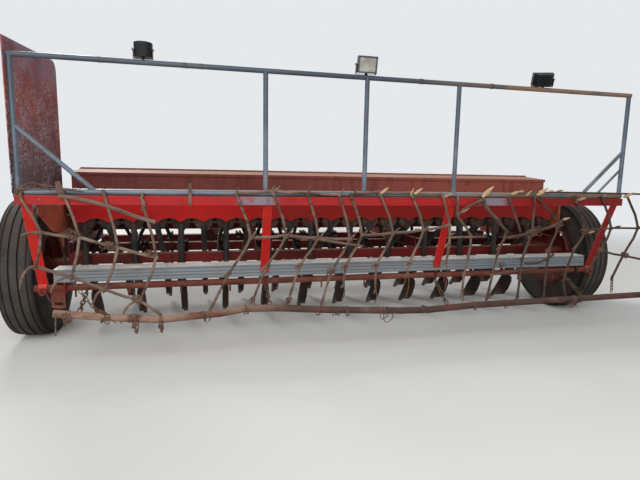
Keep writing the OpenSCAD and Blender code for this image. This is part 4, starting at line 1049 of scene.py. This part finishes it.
def model_lamps():
    """Cooling fins, bezel, fluted lens, stirrup and its bolts on each of the three lamps."""
    fins, bezels, lenses, stirrups = [], [], [], []
    back, front = LAMP_DEPTH / 2, -LAMP_DEPTH / 2
    for x, width, height, tilt, turn in LAMPS:
        place = lamp_place(x, height, tilt, turn)
        for k in range(7):
            dx = (k - 3) * (width - 52) / 7
            fins.append(block_at(place, (dx, back + 3, 0), (2.5, 9, height - 14), 0.8))
        for side in (1, -1):
            level = (0, front - 1, side * (height / 2 - 3))
            bezels.append(block_at(place, level, (width + 4, 6, 9), 1.5))
        for side in (1, -1):
            upright = (side * (width / 2 - 3), front - 1, 0)
            bezels.append(block_at(place, upright, (9, 6, height + 4), 1.5))
        lenses.append(block_at(place, (0, front + 6, 0), (width - 15, 6, height - 15), 2.5))
        for side in (-1, 1):
            arm = (3.5, 24, height / 2 + 12)
            stirrups.append(block_at(place, (side * (width / 2 + 4), 0, -height / 4 - 4), arm, 1))
            stirrups.append(block_at(place, (side * (width / 2 + 8), 0, 0), (8, 13, 13), 2))
        stirrups.append(block_at(place, (0, 0, -height / 2 - 9), (width + 11, 24, 3.5), 1))
    keep(joined_pieces(fins), "lamp_fins", "lamp")
    keep(joined_pieces(bezels), "lamp_bezels", "posts")
    keep(joined_pieces(lenses), "lamp_lenses", "lens")
    keep(joined_pieces(stirrups), "lamp_stirrups", "steel")


# The mesh screen at the left end


def model_screen():
    """Expanded steel mesh, in diamonds of 26 by 13 mm, held in a flat bar frame with a round far corner."""
    x = centre_of("mesh_panel", "x")
    back, front = edge("mesh_panel", 0, "y"), edge("mesh_panel", 1, "y")
    low, high = edge("mesh_panel", 0, "z"), edge("mesh_panel", 1, "z")
    # the top edge rises by peak towards the front; the sheet's strands are as thick as they are wide
    peak, frame_w, frame_t = 66, 26, 6
    long, short, strand = 26, 13, 4
    strands = []
    for side in (-1, 1):
        clear_selection()
        bpy.ops.mesh.primitive_cube_add(size=1)
        piece = bpy.context.object
        size = Matrix.Diagonal((strand * MM, math.hypot(long, short) * MM, strand * MM, 1))
        lean = Matrix.Rotation(side * math.atan2(short, long), 4, "X")
        piece.data.transform(stood_at(x, back, low) @ lean @ size)
        strands.append(piece)
    lattice = joined_pieces(strands)
    for step, pitch, reach in (
        ((0, long * MM, 0), long, front - back), ((0, 0, short * MM), short, high - low),
    ):
        modified("ARRAY", use_relative_offset=False, use_constant_offset=True,
                 constant_offset_displace=step, count=int(reach / pitch) + 1)
    bpy.ops.object.mode_set(mode="EDIT")
    inside = frame_w / 2
    rise = peak / (front - back)
    for place, normal in (
        ((back + inside, low), (-1, 0)), ((back, low + inside), (0, -1)), ((front - inside, low), (1, 0)),
        ((back, high - peak - inside), (-rise, 1)), ((front - inside, high - 90), (0.9, 0.55)),
    ):
        bpy.ops.mesh.select_all(action="SELECT")
        bpy.ops.mesh.bisect(plane_co=at(x, *place), plane_no=(0, *normal), clear_outer=True)
    bpy.ops.object.mode_set(mode="OBJECT")
    # the sheet has sagged in and out by a few millimetres
    for vertex in lattice.data.vertices:
        y, z = vertex.co.y / MM, vertex.co.z / MM
        vertex.co.x += 2.2 * MM * math.sin(y / 190) * math.sin(z / 230)

    clear_selection()
    bpy.ops.mesh.primitive_plane_add(size=1)
    bar = bpy.context.object
    corners = ((back + 8, low), (front, low), (back, high - peak), (front, high))
    for vertex, place in zip(bar.data.vertices, corners):
        vertex.co = at(x, *place)
    bpy.ops.object.mode_set(mode="EDIT")
    bpy.ops.mesh.select_mode(type="VERT")
    bpy.ops.mesh.select_all(action="DESELECT")
    shape = bmesh.from_edit_mesh(bar.data)
    shape.verts.ensure_lookup_table()
    shape.verts[3].select_set(True)
    shape.select_flush(True)
    bmesh.update_edit_mesh(bar.data)
    bpy.ops.mesh.bevel(offset=85 * MM, segments=8, affect="VERTICES")
    bpy.ops.mesh.select_mode(type="FACE")
    bpy.ops.mesh.select_all(action="SELECT")
    bpy.ops.mesh.inset(thickness=frame_w * MM, depth=0)
    bpy.ops.mesh.delete(type="FACE")
    bpy.ops.object.mode_set(mode="OBJECT")
    modified("SOLIDIFY", thickness=frame_t * MM, offset=0)
    keep(joined_pieces([bar, lattice]), "mesh_screen", "mesh", replaces=["mesh_panel"])


# Behind the hood


def model_castings():
    """Cast feed cups on the rear trough, and larger fertiliser cups on the front one, all with spouts."""
    height = 74
    body = slab(156, 78, height)
    bpy.ops.object.mode_set(mode="EDIT")
    lowest = -height / 2
    for inset, drop in ((13, 34), (26, 22)):
        pick_faces(body, lambda face: face.calc_center_median().z < (lowest + 1) * MM)
        lowest -= drop
        bpy.ops.mesh.extrude_region_move(TRANSFORM_OT_translate={"value": (0, 0, -drop * MM)})
        bpy.ops.transform.resize(
            value=(1 - inset / 60, 1 - inset / 80, 1), center_override=(0, 0, lowest * MM))
    bpy.ops.object.mode_set(mode="OBJECT")
    modified("BEVEL", width=12 * MM, segments=3)
    bpy.ops.object.shade_smooth_by_angle(angle=math.radians(40))
    rear = [stood_at(x, 62, 968) for x in ROWS]
    between = [stood_at(x + ROW_PITCH / 2, 150, 1000) @ Matrix.Scale(0.8, 4) for x in ROWS[:-1]]
    front = [stood_at(x, FERTILISER_Y, 990) @ Matrix.Scale(1.13, 4) for x in ROWS]
    spread("feed_cup_castings", body, rear + between + front, "cups")
    discard(body)


def model_fertiliser_hoses():
    """The shaft through the fertiliser cups, and a hose from each cup down to its row's boot."""
    reach = edge("feed_shaft", 1, "x") - 30
    ends = [at(-reach, FERTILISER_Y + 30, 925), at(reach, FERTILISER_Y + 30, 925)]
    keep(rods([even(ends, 26)]), "fertiliser_shaft", "steel")
    # places beside the row, forward and up, for hoses to the rear tines and to the front ones
    ways = (
        [(0, FERTILISER_Y - 6, 860), (-44, 600, 720), (-44, 430, 560), (-35.2, 300, 350)],
        [(0, FERTILISER_Y + 6, 850), (44, 790, 690), (35.2, 868, 350)],
    )
    hoses = []
    for row, x in enumerate(ROWS):
        way = [(0, FERTILISER_Y, 912)] + ways[row % 2]
        hoses.append(even([at(x + dx, y, z) for dx, y, z in way], 34))
    keep(rods(hoses, 2, 5), "fertiliser_hoses", "hose")


def model_springs():
    """Coil of each tine's trip spring, nine turns of 6 mm wire round the rod behind its bar."""
    turns, around, radius, start, end = 9, 6, 20, -58, -172
    line = []
    for i in range(turns * around + 1):
        angle = 2 * math.pi * i / around
        y = start + (end - start) * i / (turns * around)
        line.append(Vector((radius * math.cos(angle), y, radius * math.sin(angle))) * MM)
    spring = rods([even(line, 6)], 1, 2)
    middle_z = centre_of("cross_bars", "z")
    places = [stood_at(x, TINE_BARS_Y[row % 2], middle_z) for row, x in enumerate(ROWS)]
    spread("trip_springs", spring, places, "tines")
    discard(spring)


# Chain and wires at the drag pipe

# The drag pipe's bends, places across and up
DRAG_LINE = [
    (-2095, 420), (-1770, 378), (-1440, 345), (-1050, 368), (-885, 392), (-670, 388), (-260, 352),
    (300, 318), (520, 312), (915, 330), (1720, 338), (2535, 345),
]


def on_drag_pipe(x, out, up):
    """A place so far behind and above the drag pipe's middle, at a distance across."""
    for (x0, z0), (x1, z1) in zip(DRAG_LINE, DRAG_LINE[1:]):
        if x <= x1:
            return at(x, drag_y - out, z0 + (z1 - z0) * (x - x0) / (x1 - x0) + up)
    return at(x, drag_y - out, DRAG_LINE[-1][1] + up)


def pipe_loop(x, width, drop):
    """A loop of stiff wire thrown round the drag pipe, hanging below it."""
    steps = (
        (0, 0, 27), (0.1, 27, 6), (0.0, 28, -26), (0.25, 22, -drop), (0.7, 14, 8 - drop),
        (1.0, 20, -34), (0.8, 27, -4), (0.55, 4, 28), (0.5, -26, 4), (0.2, -20, -24),
    )
    line = [on_drag_pipe(x + sx * width + dice.uniform(-4, 4), out, up) for sx, out, up in steps]
    return even(line, 7)


def model_wires():
    """Baling wire tied to the pipes and rails, and the twine tangled at the screen's foot."""
    # Loops round the drag pipe: place across, width and drop
    wires = [pipe_loop(x, width, drop) for x, width, drop in (
        (-2015, 26, 46), (-1618, 26, 62), (-1600, 20, 88), (-1450, 22, 58), (-1442, 16, 76),
        (-885, 22, 34), (-365, 22, 40), (-145, 26, 40), (125, 58, 62), (150, 76, 84), (905, 24, 30),
        (1180, 22, 34), (1830, 40, 36),
    )]
    # Knots on the drag pipe: place across, drop below its middle, half width and turns
    for x, drop, width, turns in (
        (-1612, -6, 27, 6), (-1608, 46, 13, 6), (-1596, 78, 10, 5), (-1446, 40, 11, 5), (-1436, 70, 9, 5),
        (-2010, 6, 27, 5), (-2022, 42, 10, 4), (-1780, 8, 25, 4), (-215, 4, 26, 4), (-1165, -6, 26, 4),
        (480, -20, 26, 4), (1835, 26, 26, 6),
    ):
        wires.append(wire_knot(on_drag_pipe(x, 20, -drop), (0.3, 1), width, turns))
    hanging = [on_drag_pipe(-2075, 24, -10), on_drag_pipe(-2079, 26, -70), on_drag_pipe(-2084, 22, -140)]
    wires.append(even(hanging, 10))
    # Three turns of wire round the top rail, in sixteen places
    radius = 18.5
    for x in (-1782, -1267, -1169, 400, 980):
        coil = []
        for i in range(16):
            y, z = radius * math.cos(i * 1.26), radius * math.sin(i * 1.26)
            coil.append(at(x + 2.2 * i, rail_y + y, rail_top - 17 + z))
        wires.append(even(coil, 3.5))
    # Twine under the leaves' feet, each with its drop
    for link, drop in (
        (LEAF_B[0], 70), (LEAF_B[1], 60), (LEAF_C[1], 95), (LEAF_C[2], 180), (LEAF_C[0], 120),
        (LEAF_D[0], 50), (LEAF_D[2], 30), (LEAF_C[3], 250),
    ):
        x, z = link[-1]
        line = [in_leaf((x, z + 8)), in_leaf((x + 12, z - drop * 0.4), 8), in_leaf((x - 8, z - drop), 12)]
        wires.append(even(line, 7))
    # Twine tangled round the end post at the screen's foot, over the low rail
    low_rail = edge("rail_pipes", 0, "z")
    post_x = -2268
    for i, (reach, rise) in enumerate(((260, 46), (330, 34), (190, 58), (380, 22))):
        start = at(post_x, rail_y - 24, low_rail + 14 + 9 * i)
        middle = at(post_x + reach * 0.45, rail_y - 30 - 5 * i, low_rail + 20 + rise)
        wires.append(even([start, middle, at(post_x + reach, rail_y - 22, low_rail + 44 - 7 * i)], 6))
    for x, z, width, turns in ((-2272, 20, 26, 9), (-2272, -30, 20, 6), (-2240, 36, 16, 5)):
        wires.append(wire_knot(at(x, rail_y - 14, low_rail + z), (0.3, 1), width, turns))
    keep(rods(wires, 1, 3), "tie_wires", "wire")


def model_leaf_chain():
    """Welded chain of 6 mm wire, from the outer leaf to the drag pipe, and a short one at the far link."""
    clear_selection()
    bpy.ops.mesh.primitive_torus_add(
        major_radius=9 * MM, minor_radius=3.2 * MM, major_segments=14, minor_segments=8)
    link = bpy.context.object
    for vertex in link.data.vertices:
        vertex.co.x += math.copysign(8 * MM, vertex.co.x)
    bpy.ops.object.shade_smooth()
    x, z = LEAF_A[1][-1]
    start = in_leaf((x + 4, z - 14), 6)
    end = on_drag_pipe(-1765, 20, 24)
    count = round((end - start).length / (27 * MM))
    line = []
    for i in range(count + 1):
        sag = 50 * math.sin(math.pi * i / count)
        line.append(start.lerp(end, i / count) - Vector((0, 0, sag)) * MM)
    places = []
    for i, (a, b) in enumerate(zip(line, line[1:])):
        run = (b - a).to_track_quat("X", "Z").to_matrix().to_4x4()
        places.append(Matrix.Translation((a + b) / 2) @ run @ turned(45 + 90 * (i % 2), "X"))
    x, z = LEAF_E[2][-1]
    for i in range(5):
        hang = at(x + 2 * i, harrow_y, z - 14 - 25 * i)
        places.append(turned_to(hang, (0.1, 0, 1)) @ turned(90 * (i % 2), "Z") @ turned(90, "Y"))
    spread("leaf_chain", link, places, "chain")
    discard(link)


# Seams and trim of the seed box and the hood


def model_box_trim():
    """Lap seams and rivets on the box's walls, and rivets along the hood's fold and the plank."""
    walls = ((edge("box_rear_pan", 0, "y") + 7, -1), (edge("box_front_pan", 1, "y") - 7, 1))
    seams = []
    for y, side in walls:
        for x in SEAMS_X:
            seams.append(block_at(stood_at(x, y + side * 1.2, 1232), (0, 0, 0), (34, 2.4, 118), 0.8))
    keep(joined_pieces(seams), "box_seams", "box")

    clear_selection()
    bpy.ops.mesh.primitive_uv_sphere_add(segments=12, ring_count=8, radius=6.5 * MM)
    rivet = bpy.context.object
    bpy.ops.object.mode_set(mode="EDIT")
    bpy.ops.mesh.select_all(action="SELECT")
    bpy.ops.mesh.bisect(plane_co=(0, 0, 0.1 * MM), plane_no=(0, 0, 1), clear_inner=True, use_fill=True)
    bpy.ops.object.mode_set(mode="OBJECT")
    rivet.data.transform(Matrix.Diagonal((1, 1, 0.55, 1)))
    bpy.ops.object.shade_smooth_by_angle(angle=math.radians(50))
    places = []
    for y, side in walls:
        for x in SEAMS_X:
            for z in (1190, 1222, 1254, 1286):
                places.append(turned_to(at(x, y + side * 2.2, z), (0, side, 0)))
        for i in range(27):
            places.append(turned_to(at(-2080 + i * 160, y, 1200), (0, side, 0)))
    spread("box_rivets", rivet, places, "box")
    places = [turned_to(at(-2040 + i * 170, -3.1, 1090), (0, -1, 0)) for i in range(25)]
    spread("hood_rivets", rivet, places, "hood")
    larger = Matrix.Scale(1.6, 4)
    plank_y, plank_z = edge("plank", 0, "y") + 40, edge("plank", 1, "z")
    places = [turned_to(at(-2130 + i * 355, plank_y, plank_z), (0, 0, 1)) @ larger for i in range(13)]
    spread("plank_rivets", rivet, places, "plank")
    discard(rivet)


def model_leg_eyes():
    """Welded eye behind the bar under the plank, one below each outer leg."""
    clear_selection()
    bpy.ops.mesh.primitive_torus_add(
        major_radius=21 * MM, minor_radius=6.5 * MM, major_segments=20, minor_segments=10)
    eye = bpy.context.object
    bpy.ops.object.shade_smooth()
    bar_y = centre_of("under_bar", "y")
    places = [turned_to(at(side * 2232, bar_y - 46, 506), (0.25 * side, -1, 0.2)) for side in (-1, 1)]
    spread("leg_eyes", eye, places, "under")
    discard(eye)


# Put together

for finish, names in FINISH_OF_NODES.items():
    for name in names:
        wear_in(nodes[name], finish_called(finish))

clear_selection()
add_camera()
add_lamps()
add_surround()
model_screen()
model_harrows()
model_bar_strap()
model_castings()
model_fertiliser_hoses()
model_springs()
model_wires()
model_leaf_chain()
model_box_trim()
model_leg_eyes()
model_fasteners()
hub_cap(-1, "left")
hub_cap(1, "right")
model_lamps()

bpy.context.scene.view_settings.view_transform = "Standard"
